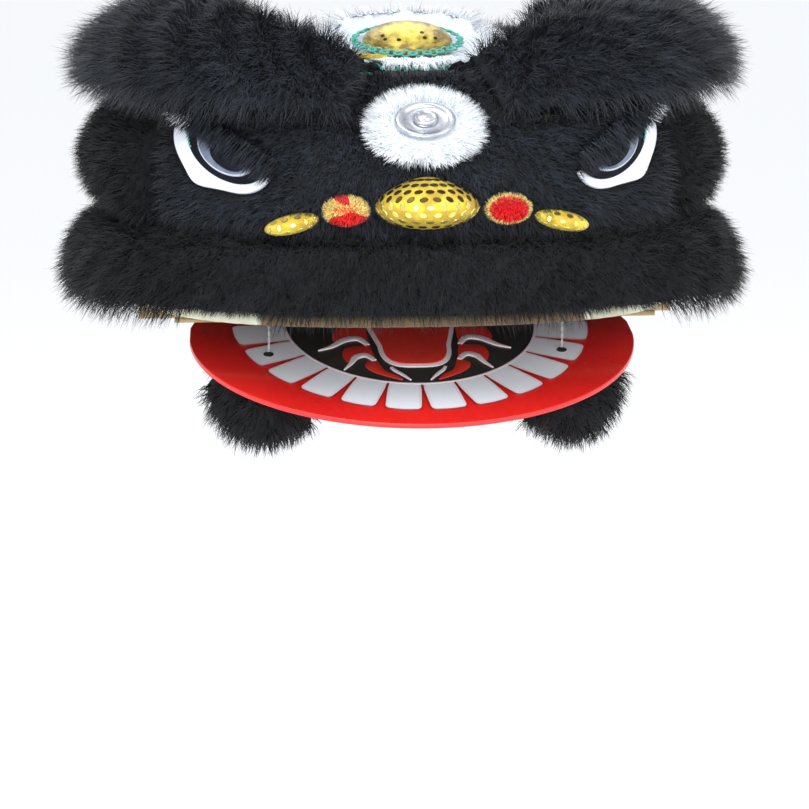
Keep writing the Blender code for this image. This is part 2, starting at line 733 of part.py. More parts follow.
def build_jaw():
    place = jaw_place()
    loop_radius = HINGE_BAR_RADIUS + GAP + LOOP_WALL
    board_start = loop_radius + GAP
    widest = JAW_LENGTH - JAW_FRONT
    outline = [arch(JAW_HALF_WIDTH, JAW_FRONT, angle, widest) for angle in range(0, 181, 6)]
    outline += [(-JAW_REAR_HALF_WIDTH, board_start), (JAW_REAR_HALF_WIDTH, board_start)]
    plate("jaw_board", outline, BOARD_THICKNESS, -BOARD_THICKNESS / 2, "red_board", place)
    top = BOARD_THICKNESS / 2 + GAP
    floor = [arch(FLOOR_HALF_WIDTH - GAP, FLOOR_LENGTH - GAP, angle) for angle in range(0, 181, 9)]
    floor += [(-FLOOR_HALF_WIDTH + GAP, FLOOR_BACK), (FLOOR_HALF_WIDTH - GAP, FLOOR_BACK)]
    plate("mouth_floor", floor, FLOOR_THICKNESS, top, "mouth_black", place)
    plate("teeth", teeth_outline(), TEETH_THICKNESS, top, "white_paint", place)
    floor_top = top + FLOOR_THICKNESS + GAP
    plate("tongue_trim", tongue_outline(TONGUE_TRIM), TONGUE_THICKNESS, floor_top, "white_paint", place)
    tongue_top = floor_top + TONGUE_THICKNESS + GAP
    plate("tongue", tongue_outline(0.0), TONGUE_THICKNESS, tongue_top, "red_board", place)
    for name, rows in CURLS.items():
        for side, sign in SIDES.items():
            outline = [(sign * across, along) for across, along in ribbon(rows)]
            plate("curl_" + name + "_" + side, outline, CURL_THICKNESS, floor_top, "red_board", place)
    for side, sign in SIDES.items():
        build_loop(side, sign, loop_radius, place)
        build_beard(side, sign, place)


def teeth_outline():
    """Twelve teeth on one arched band, parted by slits that narrow towards the band."""
    reach = 180 / TEETH_COUNT
    root_width = FLOOR_HALF_WIDTH + SLIT_ROOT * (TEETH_HALF_WIDTH - FLOOR_HALF_WIDTH)
    root_length = FLOOR_LENGTH + SLIT_ROOT * (TEETH_LENGTH - FLOOR_LENGTH)
    corner_width = TEETH_HALF_WIDTH - TOOTH_CORNER * (TEETH_HALF_WIDTH - FLOOR_HALF_WIDTH)
    corner_length = TEETH_LENGTH - TOOTH_CORNER * (TEETH_LENGTH - FLOOR_LENGTH)
    points = [arch(FLOOR_HALF_WIDTH + GAP, FLOOR_LENGTH + GAP, angle) for angle in range(180, -1, -6)]
    for tooth in range(TEETH_COUNT):
        first = tooth * reach
        last = first + reach
        starts_free = tooth > 0
        ends_free = tooth < TEETH_COUNT - 1
        if starts_free:
            points.append(arch(root_width, root_length, first))
            points.append(arch(corner_width, corner_length, first + SLIT_SHARE * reach / 2))
        round_start = first + TOOTH_ROUND * reach if starts_free else first
        round_end = last - TOOTH_ROUND * reach if ends_free else last
        for angle in (round_start, (first + last) / 2, round_end):
            points.append(arch(TEETH_HALF_WIDTH, TEETH_LENGTH, angle))
        if ends_free:
            points.append(arch(corner_width, corner_length, last - SLIT_SHARE * reach / 2))
    return points


def tongue_outline(trim):
    back = TONGUE_BACK_HALF_WIDTH + trim
    front = TONGUE_FRONT_HALF_WIDTH + trim
    bend = TONGUE_STRAIGHT_SHARE * TONGUE_END
    points = [(back, TONGUE_START)]
    for angle in range(0, 181, 15):
        turn = math.radians(angle)
        across = front * math.copysign(abs(math.cos(turn)) ** TONGUE_SIDE_SQUARENESS, math.cos(turn))
        reach = math.sin(turn) ** TONGUE_TIP_SQUARENESS
        points.append((across, bend + (TONGUE_END + trim - bend) * reach))
    points.append((-back, TONGUE_START))
    return points


def build_loop(side, sign, radius, place):
    """A stiff loop that holds the jaw's board on the hinge bar."""
    shape = bmesh.new()
    inner = HINGE_BAR_RADIUS + GAP
    flat_share = math.cos(math.pi / LOOP_SIDES)
    rows = []
    for level in (-LOOP_WIDTH / 2, LOOP_WIDTH / 2):
        for reach in (inner / flat_share, radius):
            row = []
            for index in range(LOOP_SIDES):
                angle = 2 * math.pi * (index + 0.5) / LOOP_SIDES
                point = (sign * LOOP_X + level, reach * math.cos(angle), reach * math.sin(angle))
                row.append(shape.verts.new(point))
            rows.append(row)
    for low, high in ((0, 1), (1, 3), (3, 2), (2, 0)):
        for index in range(LOOP_SIDES):
            after = (index + 1) % LOOP_SIDES
            shape.faces.new((rows[low][index], rows[low][after], rows[high][after], rows[high][index]))
    add_mesh("jaw_loop_" + side, shape, "red_board", place)


def build_beard(side, sign, place):
    """Fur that hangs from the underside of the board, along its side edge."""
    turns = steps(*BEARD_TURNS, BEARD_STEP)
    widths = steps(*BEARD_SHARES, BEARD_SHARE_STEP)
    columns = len(turns)
    shape = bmesh.new()
    bmesh.ops.create_grid(shape, x_segments=columns - 1, y_segments=len(widths) - 1, size=0.5)
    for index, point in enumerate(shape.verts):
        point.co = (index % columns, index // columns, 0)
    thicken(shape, 1)
    for point in shape.verts:
        column, row, level = (round(value) for value in point.co)
        share = widths[row]
        widest = JAW_LENGTH - JAW_FRONT
        across, along = arch(share * JAW_HALF_WIDTH, share * JAW_FRONT, turns[column], widest)
        locks = 1 + BEARD_LOCK_SHARE * (-1) ** (column + row)
        depth = BEARD_DEPTH * locks * edge_to_middle(BEARD_EDGE_SHARE, swell(turns[column], *BEARD_SWELL))
        point.co = (sign * across, -along, -BOARD_THICKNESS / 2 - GAP - level * depth)
    add_mesh("beard_" + side, shape, "black_fur", place, smooth=25)


def build_ties():
    """Short cords that hold the jaw's board under the mouth bar."""
    along = (HINGE_Y - MOUTH_BAR_Y) / math.cos(math.radians(JAW_TILT))
    lift = BOARD_THICKNESS / 2 + TEETH_THICKNESS + 3 * GAP + TIE_RADIUS * math.sin(math.radians(JAW_TILT))
    board_z = HINGE_Z - along * math.sin(math.radians(JAW_TILT)) + lift / math.cos(math.radians(JAW_TILT))
    top = MOUTH_BAR_Z - MOUTH_BAR_RADIUS - GAP
    for side, sign in SIDES.items():
        ends = [Vector((sign * TIE_X, MOUTH_BAR_Y, top)), Vector((sign * TIE_X, MOUTH_BAR_Y, board_z))]
        tube("jaw_tie_" + side, ends, TIE_RADIUS, "white_cord", sides=1)


PIECES = start_scene()
EYES = {side: eye_place(sign) for side, sign in SIDES.items()}
NOSE = nose_place()
ROSETTE = rosette_place()
SEATS = [Seat(place, EYE_HALF_WIDTH, EYE_HALF_HEIGHT, EYE_MARGIN, EYE_TOP) for place in EYES.values()]
SEATS.append(Seat(NOSE, WING_X + WING_HALF_WIDTH, WING_DROP + WING_HALF_HEIGHT, NOSE_MARGIN))
SEATS.append(Seat(ROSETTE, ROSETTE_HALF_WIDTH, ROSETTE_HALF_HEIGHT, ROSETTE_MARGIN))
build_shell()
build_rim()
build_fur(SEATS)
for eye_side, eye_sign in SIDES.items():
    build_eye(eye_side, eye_sign, EYES[eye_side])
build_nose(NOSE)
build_rosette(ROSETTE)
build_horn()
build_jaw()
build_ties()
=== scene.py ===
"""The looks of a lion dance head: combed fur, sequins, braid, glossy eyes and a painted jaw."""

import math

import bmesh
import bpy
import numpy as np
from mathutils import Matrix, Vector, kdtree


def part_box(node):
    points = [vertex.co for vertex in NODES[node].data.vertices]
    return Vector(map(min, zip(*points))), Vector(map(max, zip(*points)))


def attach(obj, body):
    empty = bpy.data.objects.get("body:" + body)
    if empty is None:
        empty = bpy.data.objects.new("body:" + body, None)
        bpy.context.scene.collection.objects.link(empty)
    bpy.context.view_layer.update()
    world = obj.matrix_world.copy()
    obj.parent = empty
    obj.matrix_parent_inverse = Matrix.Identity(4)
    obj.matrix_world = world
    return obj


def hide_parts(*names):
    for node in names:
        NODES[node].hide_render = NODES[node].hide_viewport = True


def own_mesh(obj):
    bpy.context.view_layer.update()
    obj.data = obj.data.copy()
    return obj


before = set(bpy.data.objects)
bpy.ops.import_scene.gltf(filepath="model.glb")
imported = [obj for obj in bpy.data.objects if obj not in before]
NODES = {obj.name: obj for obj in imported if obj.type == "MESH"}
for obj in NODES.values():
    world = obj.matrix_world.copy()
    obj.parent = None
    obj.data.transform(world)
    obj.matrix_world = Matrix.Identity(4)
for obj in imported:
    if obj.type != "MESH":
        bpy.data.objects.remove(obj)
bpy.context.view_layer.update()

SIDES = {"left": -1, "right": 1}
UP = Vector((0, 0, 1))

# Places that the part's source gives, in metres
HINGE = Vector((0, -0.020, -0.020724))
JAW_TILT = math.radians(20)
BOARD = Matrix.Translation(HINGE) @ Matrix.Rotation(JAW_TILT, 4, "X")
BOARD_TOP = 0.0025
HOOP = {"half_width": 0.2595, "half_depth": 0.2196, "middle": 0.0115, "height": -0.00636, "radius": 0.0062}
HEAD_ROUNDNESS = 2.5
EYE_HALF_WIDTH = 0.064
EYE_HALF_HEIGHT = 0.038
EYE_SLANT = 24
NOSE_MIDDLE = Vector((0, -0.225, 0.113))
HORN_Y = -0.041
HORN_TILT = math.radians(8)
HORN_SEAT = 0.2473
BRAID_RADIUS = 0.053
MOUTH_START = 0.0405


# Shader maths
class Value:
    """What a node's socket gives, with arithmetic that adds Math nodes."""

    def __init__(self, finish, socket):
        self.finish = finish
        self.socket = socket

    def maths(self, operation, first, second):
        return self.finish.node("ShaderNodeMath", {0: first, 1: second}, operation=operation)

    def __add__(self, other):
        return self.maths("ADD", self, other)

    def __sub__(self, other):
        return self.maths("SUBTRACT", self, other)

    def __rsub__(self, other):
        return self.maths("SUBTRACT", other, self)

    def __mul__(self, other):
        return self.maths("MULTIPLY", self, other)

    def __truediv__(self, other):
        return self.maths("DIVIDE", self, other)

    def __pow__(self, other):
        return self.maths("POWER", self, other)

    __radd__ = __add__
    __rmul__ = __mul__


class Finish:
    """A procedural material round one principled shader."""

    def __init__(self, name, slot, colour, roughness, **constants):
        self.slot = slot
        self.material = bpy.data.materials.new(name)
        self.material.use_nodes = True
        self.tree = self.material.node_tree
        self.shader = self.tree.nodes["Principled BSDF"]
        self.shader.inputs["Base Color"].default_value = (*colour, 1)
        self.shader.inputs["Roughness"].default_value = roughness
        for socket, value in constants.items():
            self.shader.inputs[socket.replace("_", " ")].default_value = value
        self.material.diffuse_color = (*colour, 1)

    def node(self, kind, values, output=0, stops=(), **settings):
        """Adds a node: its settings first, then the values or links of its sockets."""
        made = self.tree.nodes.new(kind)
        for key, value in settings.items():
            setattr(made, key, value)
        for index, (place, colour) in enumerate(stops):
            stop = made.color_ramp.elements[index] if index < 2 else made.color_ramp.elements.new(place)
            stop.position = place
            stop.color = (*colour, 1)
        for socket, value in values.items():
            if isinstance(value, Value):
                self.tree.links.new(value.socket, made.inputs[socket])
            else:
                made.inputs[socket].default_value = value
        return Value(self, made.outputs[output])

    def place(self, scale=(1, 1, 1), turn=(0, 0, 0), middle=(0, 0, 0)):
        """Object coordinates, moved to a middle, turned and scaled."""
        here = self.node("ShaderNodeTexCoord", {}, output="Object")
        centred = self.node("ShaderNodeVectorMath", {0: here, 1: middle}, operation="SUBTRACT")
        return self.node("ShaderNodeMapping", {"Vector": centred, "Scale": scale, "Rotation": turn})

    def noise(self, where, scale, detail=3.0, roughness=0.5):
        values = {"Vector": where, "Scale": scale, "Detail": detail, "Roughness": roughness}
        return self.node("ShaderNodeTexNoise", values)

    def wave(self, where, scale, distortion=0.0, direction="X"):
        values = {"Vector": where, "Scale": scale, "Distortion": distortion}
        return self.node("ShaderNodeTexWave", values, output="Fac", bands_direction=direction)

    def cells(self, where, scale, output="Distance", feature="F1"):
        return self.node("ShaderNodeTexVoronoi", {"Vector": where, "Scale": scale}, output=output, feature=feature)

    def between(self, value, low, high):
        """0 below low, 1 above high, and smooth between them."""
        values = {"Value": value, "From Min": low, "From Max": high}
        return self.node("ShaderNodeMapRange", values, interpolation_type="SMOOTHSTEP")

    def mix(self, share, first, second):
        first, second = (value if isinstance(value, Value) else (*value, 1) for value in (first, second))
        return self.node("ShaderNodeMix", {0: share, 6: first, 7: second}, output=2, data_type="RGBA")

    def attribute(self, name, channel):
        """One channel of a piece's own colour attribute."""
        colour = self.node("ShaderNodeAttribute", {}, output="Color", attribute_name=name)
        return self.node("ShaderNodeSeparateColor", {"Color": colour}, output=channel)

    def split(self, vector, axis):
        return self.node("ShaderNodeSeparateXYZ", {"Vector": vector}, output=axis)

    def colour(self, value):
        self.tree.links.new(value.socket, self.shader.inputs["Base Color"])
        return self

    def rough(self, value):
        self.tree.links.new(value.socket, self.shader.inputs["Roughness"])
        return self

    def glow(self, value, strength):
        """Makes a colour glow a little: painted light, with no lamp, that brightens threads which would lie in shade.
        """
        self.tree.links.new(value.socket, self.shader.inputs["Emission Color"])
        self.shader.inputs["Emission Strength"].default_value = strength
        return self

    def bump(self, height, strength, distance=0.001):
        values = {"Height": height, "Strength": strength, "Distance": distance}
        made = self.node("ShaderNodeBump", values)
        self.tree.links.new(made.socket, self.shader.inputs["Normal"])
        return self


def fur_finish(name, slot, root, tip, patch, sheen, glow=0.0):
    """Strands that go from a root to a tip colour, with each lock and patch a little different."""
    # The glow strength lights the strands in their tip colour: painted light.
    finish = Finish(name, slot, tip, 0.75, Sheen_Weight=sheen, Sheen_Roughness=0.5, Specular_IOR_Level=0.25,
                    Emission_Color=(*tip, 1), Emission_Strength=glow)
    along = finish.attribute("hair", "Red")
    strand = finish.attribute("hair", "Green")
    lock = finish.attribute("hair", "Blue")
    patches = finish.noise(finish.place(), 14, 2)
    shade = finish.mix(finish.between(along, 0.05, 0.95), root, tip)
    shade = finish.mix(finish.between(patches + lock * 0.5, 0.55, 1.05), shade, patch)
    finish.colour(finish.mix(strand * 0.35, shade, tuple(0.7 * value for value in root)))
    finish.rough(0.65 + 0.25 * lock)
    return finish


def undercoat_finish(name, slot, dark, light):
    """The dense felt of fur between the strands."""
    finish = Finish(name, slot, dark, 0.9)
    streaks = finish.noise(finish.place((1, 1, 0.25)), 420, 4, 0.7)
    finish.colour(finish.mix(finish.between(streaks, 0.35, 0.75), dark, light))
    return finish.bump(streaks, 0.9, 0.002)


def gloss_paint(name, slot, colour, deep, roughness=0.28):
    """Brushed gloss paint on board, a little cloudy and scuffed."""
    finish = Finish(name, slot, colour, roughness, Coat_Weight=0.35, Coat_Roughness=0.12)
    cloud = finish.noise(finish.place(), 9, 4)
    streak = finish.noise(finish.place((1, 0.06, 1)), 160, 3)
    finish.colour(finish.mix(finish.between(cloud + streak * 0.4, 0.5, 1.0), colour, deep))
    finish.rough(roughness - 0.05 + 0.22 * finish.between(cloud, 0.45, 0.75))
    return finish.bump(streak, 0.12, 0.0006)


def make_finishes():
    looks = {}
    # Brow and lip fur are one black fur in two painted lights: the brow copy's lighter bluish tips and patches are a
    # painted sky-lit sheen, and the darker lip copy is painted shade.
    looks["brow_fur"] = fur_finish(
        "black_fur_painted_skylit", "black_fur", (0.004, 0.005, 0.007), (0.024, 0.030, 0.042), (0.036, 0.045, 0.062), 0.15
    )
    looks["lip_fur"] = fur_finish(
        "black_fur_painted_shade", "black_fur", (0.003, 0.0035, 0.004), (0.011, 0.013, 0.016), (0.017, 0.020, 0.024), 0.08
    )
    # The white fur glows: painted light that brightens its shaded strands.
    looks["white_fur"] = fur_finish(
        "white_fur_long", "white_fur", (0.80, 0.86, 0.95), (0.96, 0.98, 1.0), (0.86, 0.93, 1.0), 0.2, 0.28
    )
    looks["black_under"] = undercoat_finish("black_fur_felt", "black_fur", (0.003, 0.0035, 0.0045), (0.012, 0.015, 0.020))
    looks["white_under"] = undercoat_finish("white_fur_felt", "white_fur", (0.78, 0.84, 0.94), (0.94, 0.97, 1.0))
    looks["board"] = gloss_paint("red_board_gloss", "red_board", (0.76, 0.018, 0.014), (0.62, 0.010, 0.010))
    looks["tongue"] = gloss_paint("tongue_red", "red_board", (0.78, 0.040, 0.026), (0.60, 0.026, 0.018))
    looks["curl"] = gloss_paint("curl_red", "red_board", (0.76, 0.036, 0.024), (0.62, 0.024, 0.016))
    looks["trim"] = gloss_paint("outline_paint", "white_paint", (0.95, 0.80, 0.84), (0.98, 0.93, 0.96), 0.35)
    looks["floor"] = gloss_paint("mouth_black_paint", "mouth_black", (0.020, 0.021, 0.019), (0.028, 0.028, 0.022), 0.5)
    looks["navy"] = gloss_paint("mouth_edge_paint", "mouth_black", (0.010, 0.012, 0.030), (0.014, 0.016, 0.036), 0.5)
    looks["teeth"] = teeth_paint()
    looks["gold"] = gold_cloth()
    looks["sequin"] = sequin_foil()
    looks["dome"] = dome_foil()
    looks["turquoise"] = braid_thread()
    looks["silver"] = mirror_chrome()
    looks["eye_white"] = eye_enamel("eye_white_enamel", "eye_white", (0.80, 0.84, 0.93), (0.93, 0.95, 1.0))
    looks["eye_black"] = eye_enamel("eye_black_enamel", "eye_black", (0.003, 0.003, 0.007), (0.006, 0.007, 0.014), 0.08)
    looks["iris"] = eye_enamel("eye_iris_enamel", "eye_iris", (0.10, 0.125, 0.19), (0.21, 0.25, 0.35))
    looks["iris_edge"] = eye_enamel("eye_iris_edge", "eye_iris", (0.50, 0.54, 0.66), (0.62, 0.66, 0.76))
    looks["yarn"] = yarn()
    looks["lining"] = lining_cloth()
    looks["wrap"] = wrap_tape()
    looks["bamboo"] = bamboo_skin()
    looks["cord"] = cord_thread()
    looks["red_cloth"] = loop_cloth()
    return looks


def teeth_paint():
    """Lavender white enamel that turns pink towards each tooth's edge, with a dark red line round it."""
    finish = Finish("teeth_enamel", "white_paint", (0.68, 0.72, 0.86), 0.3, Coat_Weight=0.3, Coat_Roughness=0.1)
    rim = finish.attribute("rim", "Red")
    line = finish.attribute("rim", "Green")
    cloud = finish.noise(finish.place(), 40, 3)
    body = finish.mix(cloud, (0.88, 0.91, 1.0), (0.94, 0.96, 1.0))
    rimmed = finish.mix(finish.between(rim, 0.1, 0.8), body, (0.90, 0.80, 0.84))
    finish.colour(finish.mix(finish.between(line, 0.2, 0.8), rimmed, (0.30, 0.012, 0.016)))
    return finish.bump(cloud, 0.05, 0.0005)


def gold_cloth():
    """Yellow foil cloth with a fine crossed weave and soft creases."""
    finish = Finish("gold_foil_cloth", "gold_sequin", (0.83, 0.58, 0.05), 0.34, Metallic=0.35, Sheen_Weight=0.1)
    weave = finish.wave(finish.place(), 700, 0.6) + finish.wave(finish.place(), 700, 0.6, "Z")
    crease = finish.noise(finish.place((1, 1, 1.6)), 60, 3)
    # Darker where the crease height sinks: painted shade in the creases' hollows.
    tone = finish.mix(finish.between(crease, 0.35, 0.7), (0.60, 0.40, 0.030), (0.90, 0.72, 0.06))
    finish.colour(tone)
    finish.rough(0.26 + 0.20 * crease)
    return finish.bump(weave * 0.2 + crease, 0.5, 0.0016)


def dome_foil():
    """Crumpled foil, bright yellow on top; its olive brown low down and its darker fold hollows are painted shade."""
    middle = (0, HORN_Y, HORN_SEAT)
    finish = Finish("dome_foil", "gold_sequin", (0.85, 0.66, 0.05), 0.3, Metallic=0.4)
    here = finish.place((1, 0.5, 2), middle=middle)
    folds = finish.noise(here, 85, 4, 0.6)
    height = finish.split(finish.place(middle=middle), "Z")
    ahead = finish.split(finish.place(middle=middle), "Y")
    # Painted shade: olive brown low down on the dome.
    low = finish.between(height - 0.35 * ahead + 0.010 * folds, 0.033, 0.020)
    # Brighter where the folds rise, darker where they sink: painted shade in the hollows.
    bright = finish.mix(folds, (0.80, 0.58, 0.04), (1.0, 0.86, 0.14))
    brown = finish.mix(finish.between(folds, 0.35, 0.65), (0.16, 0.10, 0.02), (0.52, 0.40, 0.08))
    finish.colour(finish.mix(low, bright, brown))
    finish.rough(0.2 + 0.25 * folds)
    return finish.bump(folds, 0.8, 0.003)


def sequin_foil():
    """Round sequins, each with a tone between dark brown and bright gold; on the gold domes these tones are painted
    reflection and shade.
    """
    finish = Finish("sequin_foil", "gold_sequin", (0.30, 0.16, 0.02), 0.22, Metallic=0.6)
    tone = finish.attribute("tone", "Red")
    grain = finish.noise(finish.place(), 900, 2)
    shade = finish.mix(finish.between(tone, 0.0, 1.0), (0.030, 0.016, 0.006), (0.98, 0.80, 0.22))
    finish.colour(finish.mix(grain * 0.25, shade, (0.10, 0.06, 0.012)))
    return finish


def braid_thread():
    """Shiny turquoise thread with a fine twist."""
    finish = Finish("turquoise_thread", "turquoise_braid", (0.05, 0.52, 0.40), 0.42, Sheen_Weight=0.3)
    twist = finish.wave(finish.place(turn=(0.6, 0.4, 0.7)), 900, 1.0)
    finish.colour(finish.mix(twist, (0.025, 0.33, 0.27), (0.12, 0.66, 0.52)))
    return finish.bump(twist, 0.5, 0.0005)


def mirror_chrome():
    """Pressed chrome with a little haze and dust."""
    finish = Finish("mirror_chrome", "mirror_silver", (0.55, 0.56, 0.60), 0.2, Metallic=0.85)
    haze = finish.noise(finish.place(), 60, 3)
    finish.rough(0.16 + 0.16 * haze)
    finish.colour(finish.mix(finish.between(haze, 0.35, 0.75), (0.56, 0.58, 0.62), (0.36, 0.37, 0.42)))
    return finish


def eye_enamel(name, slot, dark, light, shine=0.25):
    """Glossy enamel, slightly cloudy."""
    finish = Finish(name, slot, light, 0.2, Coat_Weight=shine, Coat_Roughness=0.08, Specular_IOR_Level=1.4 * shine)
    cloud = finish.noise(finish.place(), 60, 3)
    finish.colour(finish.mix(finish.between(cloud, 0.35, 0.7), dark, light))
    finish.rough(0.12 + 0.12 * cloud)
    return finish


def yarn():
    """Pompom yarn, red or yellow by its own attribute."""
    finish = Finish("pompom_yarn", "pompom_red", (0.80, 0.02, 0.02), 0.75, Sheen_Weight=0.3)
    along = finish.attribute("hair", "Red")
    strand = finish.attribute("hair", "Green")
    yellow = finish.attribute("hair", "Blue")
    shade = finish.mix(finish.between(yellow, 0.4, 0.6), (0.90, 0.010, 0.014), (1.0, 0.80, 0.26))
    deep = finish.mix(finish.between(yellow, 0.4, 0.6), (0.80, 0.008, 0.010), (1.0, 0.70, 0.18))
    tipped = finish.mix(finish.between(along, 0.0, 0.8), deep, shade)
    woolly = finish.mix(strand * 0.25, tipped, deep)
    # The yarn glows in its own colour: painted light that brightens strands in shade.
    finish.colour(woolly).glow(woolly, 0.22)
    return finish.rough(0.65 + 0.2 * strand)


def weave(finish, scale):
    """Crossed threads in object coordinates, as a height."""
    across = finish.wave(finish.place(), scale, 0.5)
    upright = finish.wave(finish.place(), scale, 0.5, "Z")
    deep = finish.wave(finish.place(), scale, 0.5, "Y")
    return across * upright + deep * 0.5


def lining_cloth():
    """Dark red brown cotton inside the head."""
    finish = Finish("lining_cotton", "shell_lining", (0.060, 0.016, 0.016), 0.85, Sheen_Weight=0.2)
    threads = weave(finish, 260)
    stain = finish.noise(finish.place(), 8, 4)
    tone = finish.mix(finish.between(stain, 0.35, 0.7), (0.040, 0.012, 0.012), (0.095, 0.020, 0.018))
    inside = finish.mix(threads * 0.4, tone, (0.020, 0.008, 0.008))
    normal = finish.node("ShaderNodeTexCoord", {}, output="Normal")
    apart = finish.node("ShaderNodeVectorMath", {0: normal, 1: finish.place()}, output="Value", operation="DOT_PRODUCT")
    finish.colour(finish.mix(finish.between(apart, -0.01, 0.01), inside, (0.008, 0.009, 0.012)))
    return finish.bump(threads, 0.6, 0.0012)


def wrap_tape():
    """Pale cloth tape wound round the rim, greyed where hands hold it."""
    finish = Finish("rim_tape", "rim_wrap", (0.66, 0.68, 0.52), 0.68, Sheen_Weight=0.15)
    threads = weave(finish, 420)
    dirt = finish.noise(finish.place(), 22, 5)
    tone = finish.mix(finish.between(dirt, 0.4, 0.75), (0.70, 0.72, 0.56), (0.42, 0.42, 0.28))
    taped = finish.mix(threads * 0.2, tone, (0.34, 0.35, 0.24))
    across = finish.node("ShaderNodeMath", {0: finish.split(finish.place(), "X")}, operation="ABSOLUTE")
    cane = finish.mix(threads * 0.4, (0.16, 0.11, 0.045), (0.07, 0.05, 0.025))
    finish.colour(finish.mix(finish.between(across, 0.158, 0.164), cane, taped))
    return finish.bump(threads, 0.4, 0.0008)


def bamboo_skin():
    """Peeled bamboo with long fibres and darker bands."""
    finish = Finish("bamboo_skin", "bamboo", (0.42, 0.30, 0.14), 0.42)
    fibres = finish.noise(finish.place((0.05, 1, 1)), 700, 3)
    bands = finish.noise(finish.place(), 16, 3)
    tone = finish.mix(finish.between(fibres, 0.35, 0.7), (0.30, 0.20, 0.085), (0.52, 0.38, 0.18))
    finish.colour(finish.mix(finish.between(bands, 0.5, 0.8), tone, (0.20, 0.13, 0.05)))
    finish.rough(0.35 + 0.25 * fibres)
    return finish.bump(fibres, 0.3, 0.0006)


def cord_thread():
    """Twisted white cotton cord."""
    finish = Finish("cotton_cord", "white_cord", (0.80, 0.80, 0.78), 0.8)
    twist = finish.wave(finish.place(turn=(0, 0.7, 0)), 700, 0.4, "Z")
    finish.colour(finish.mix(twist, (0.55, 0.55, 0.54), (0.88, 0.88, 0.86)))
    return finish.bump(twist, 0.7, 0.0006)


def loop_cloth():
    """Folded red cotton that ties the board to the bar."""
    finish = Finish("loop_cotton", "red_board", (0.34, 0.014, 0.012), 0.8, Sheen_Weight=0.2)
    threads = weave(finish, 380)
    fade = finish.noise(finish.place(), 35, 4)
    tone = finish.mix(finish.between(fade, 0.35, 0.7), (0.22, 0.010, 0.010), (0.42, 0.020, 0.016))
    finish.colour(finish.mix(threads * 0.4, tone, (0.12, 0.006, 0.006)))
    return finish.bump(threads, 0.6, 0.001)


LOOKS = make_finishes()


# Pieces
def add_piece(name, mesh, look, body="root", stands_for=()):
    """Places a finished mesh in the scene, on a body, in place of the nodes that it stands for."""
    if not mesh.materials:
        mesh.materials.append(LOOKS[look].material)
    obj = bpy.data.objects.new(name, mesh)
    bpy.context.scene.collection.objects.link(obj)
    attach(obj, body)
    if stands_for:
        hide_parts(*stands_for)
    return obj


def face_outwards(shape):
    """Turns a closed shape's faces outwards, whatever way its loops went."""
    bmesh.ops.recalc_face_normals(shape, faces=shape.faces)
    if shape.calc_volume(signed=True) < 0:
        bmesh.ops.reverse_faces(shape, faces=shape.faces)
    shape.normal_update()


def finish_shape(name, shape, look, body="root", stands_for=(), smooth=40):
    """Turns a bmesh's faces outwards and makes a piece of it."""
    face_outwards(shape)
    mesh = bpy.data.meshes.new(name)
    shape.to_mesh(mesh)
    shape.free()
    mesh.shade_smooth()
    mesh.set_sharp_from_angle(angle=math.radians(smooth))
    return add_piece(name, mesh, look, body, stands_for)


def facing(point, outward, slant=0.0):
    """The place of a flat piece: its own +Z looks outward, and its own +Y as far up as it can."""
    outward = outward.normalized()
    side = UP.cross(outward).normalized()
    turned = Matrix((side, outward.cross(side), outward)).transposed().to_4x4()
    return Matrix.Translation(point) @ turned @ Matrix.Rotation(math.radians(slant), 4, "Z")


def flat_place(node, slant=0.0):
    """The place of a flat-backed node, from its largest faces, with its own Z at the back."""
    mesh = NODES[node].data
    widest = max(mesh.polygons, key=lambda face: face.area)
    outward = widest.normal.copy()
    middle = sum((point.co for point in mesh.vertices), Vector()) / len(mesh.vertices)
    if outward.dot(middle - Vector((0, 0, 0.1))) < 0:
        outward.negate()
    place = facing(middle, outward, slant)
    inverse = place.inverted()
    local = [inverse @ point.co for point in mesh.vertices]
    low = [min(point[axis] for point in local) for axis in range(3)]
    high = [max(point[axis] for point in local) for axis in range(3)]
    return place, Vector(low), Vector(high)


def rounded(shape, edges, width, segments=3):
    bmesh.ops.bevel(
        shape, geom=edges, offset=width, segments=segments, profile=0.5, affect="EDGES", material=-1, clamp_overlap=True
    )


def eye_seat(side):
    """The middle of an eye's back, with its own X along the slant and its own Z outwards."""
    place, low, high = flat_place("eye_white_" + side, SIDES[side] * EYE_SLANT)
    return place @ Matrix.Translation(((low.x + high.x) / 2, low.y + EYE_HALF_HEIGHT, low.z))


EYE_SEATS = {side: eye_seat(side) for side in SIDES}


# Fur
def unit(vectors):
    return vectors / np.maximum(np.linalg.norm(vectors, axis=-1, keepdims=True), 1e-9)


def undercoat(node, inset, smoothing=3):
    """A bmesh of a fur node, merged, softened and drawn in a little."""
    shape = bmesh.new()
    shape.from_mesh(NODES[node].data)
    bmesh.ops.remove_doubles(shape, verts=shape.verts, dist=1e-5)
    bmesh.ops.subdivide_edges(shape, edges=shape.edges, cuts=1)
    for _ in range(smoothing):
        bmesh.ops.smooth_vert(shape, verts=shape.verts, factor=0.5, use_axis_x=True, use_axis_y=True, use_axis_z=True)
    face_outwards(shape)
    moved = [(point, point.co - point.normal * inset) for point in shape.verts]
    for point, place in moved:
        point.co = place
    shape.normal_update()
    bmesh.ops.triangulate(shape, faces=shape.faces)
    return shape


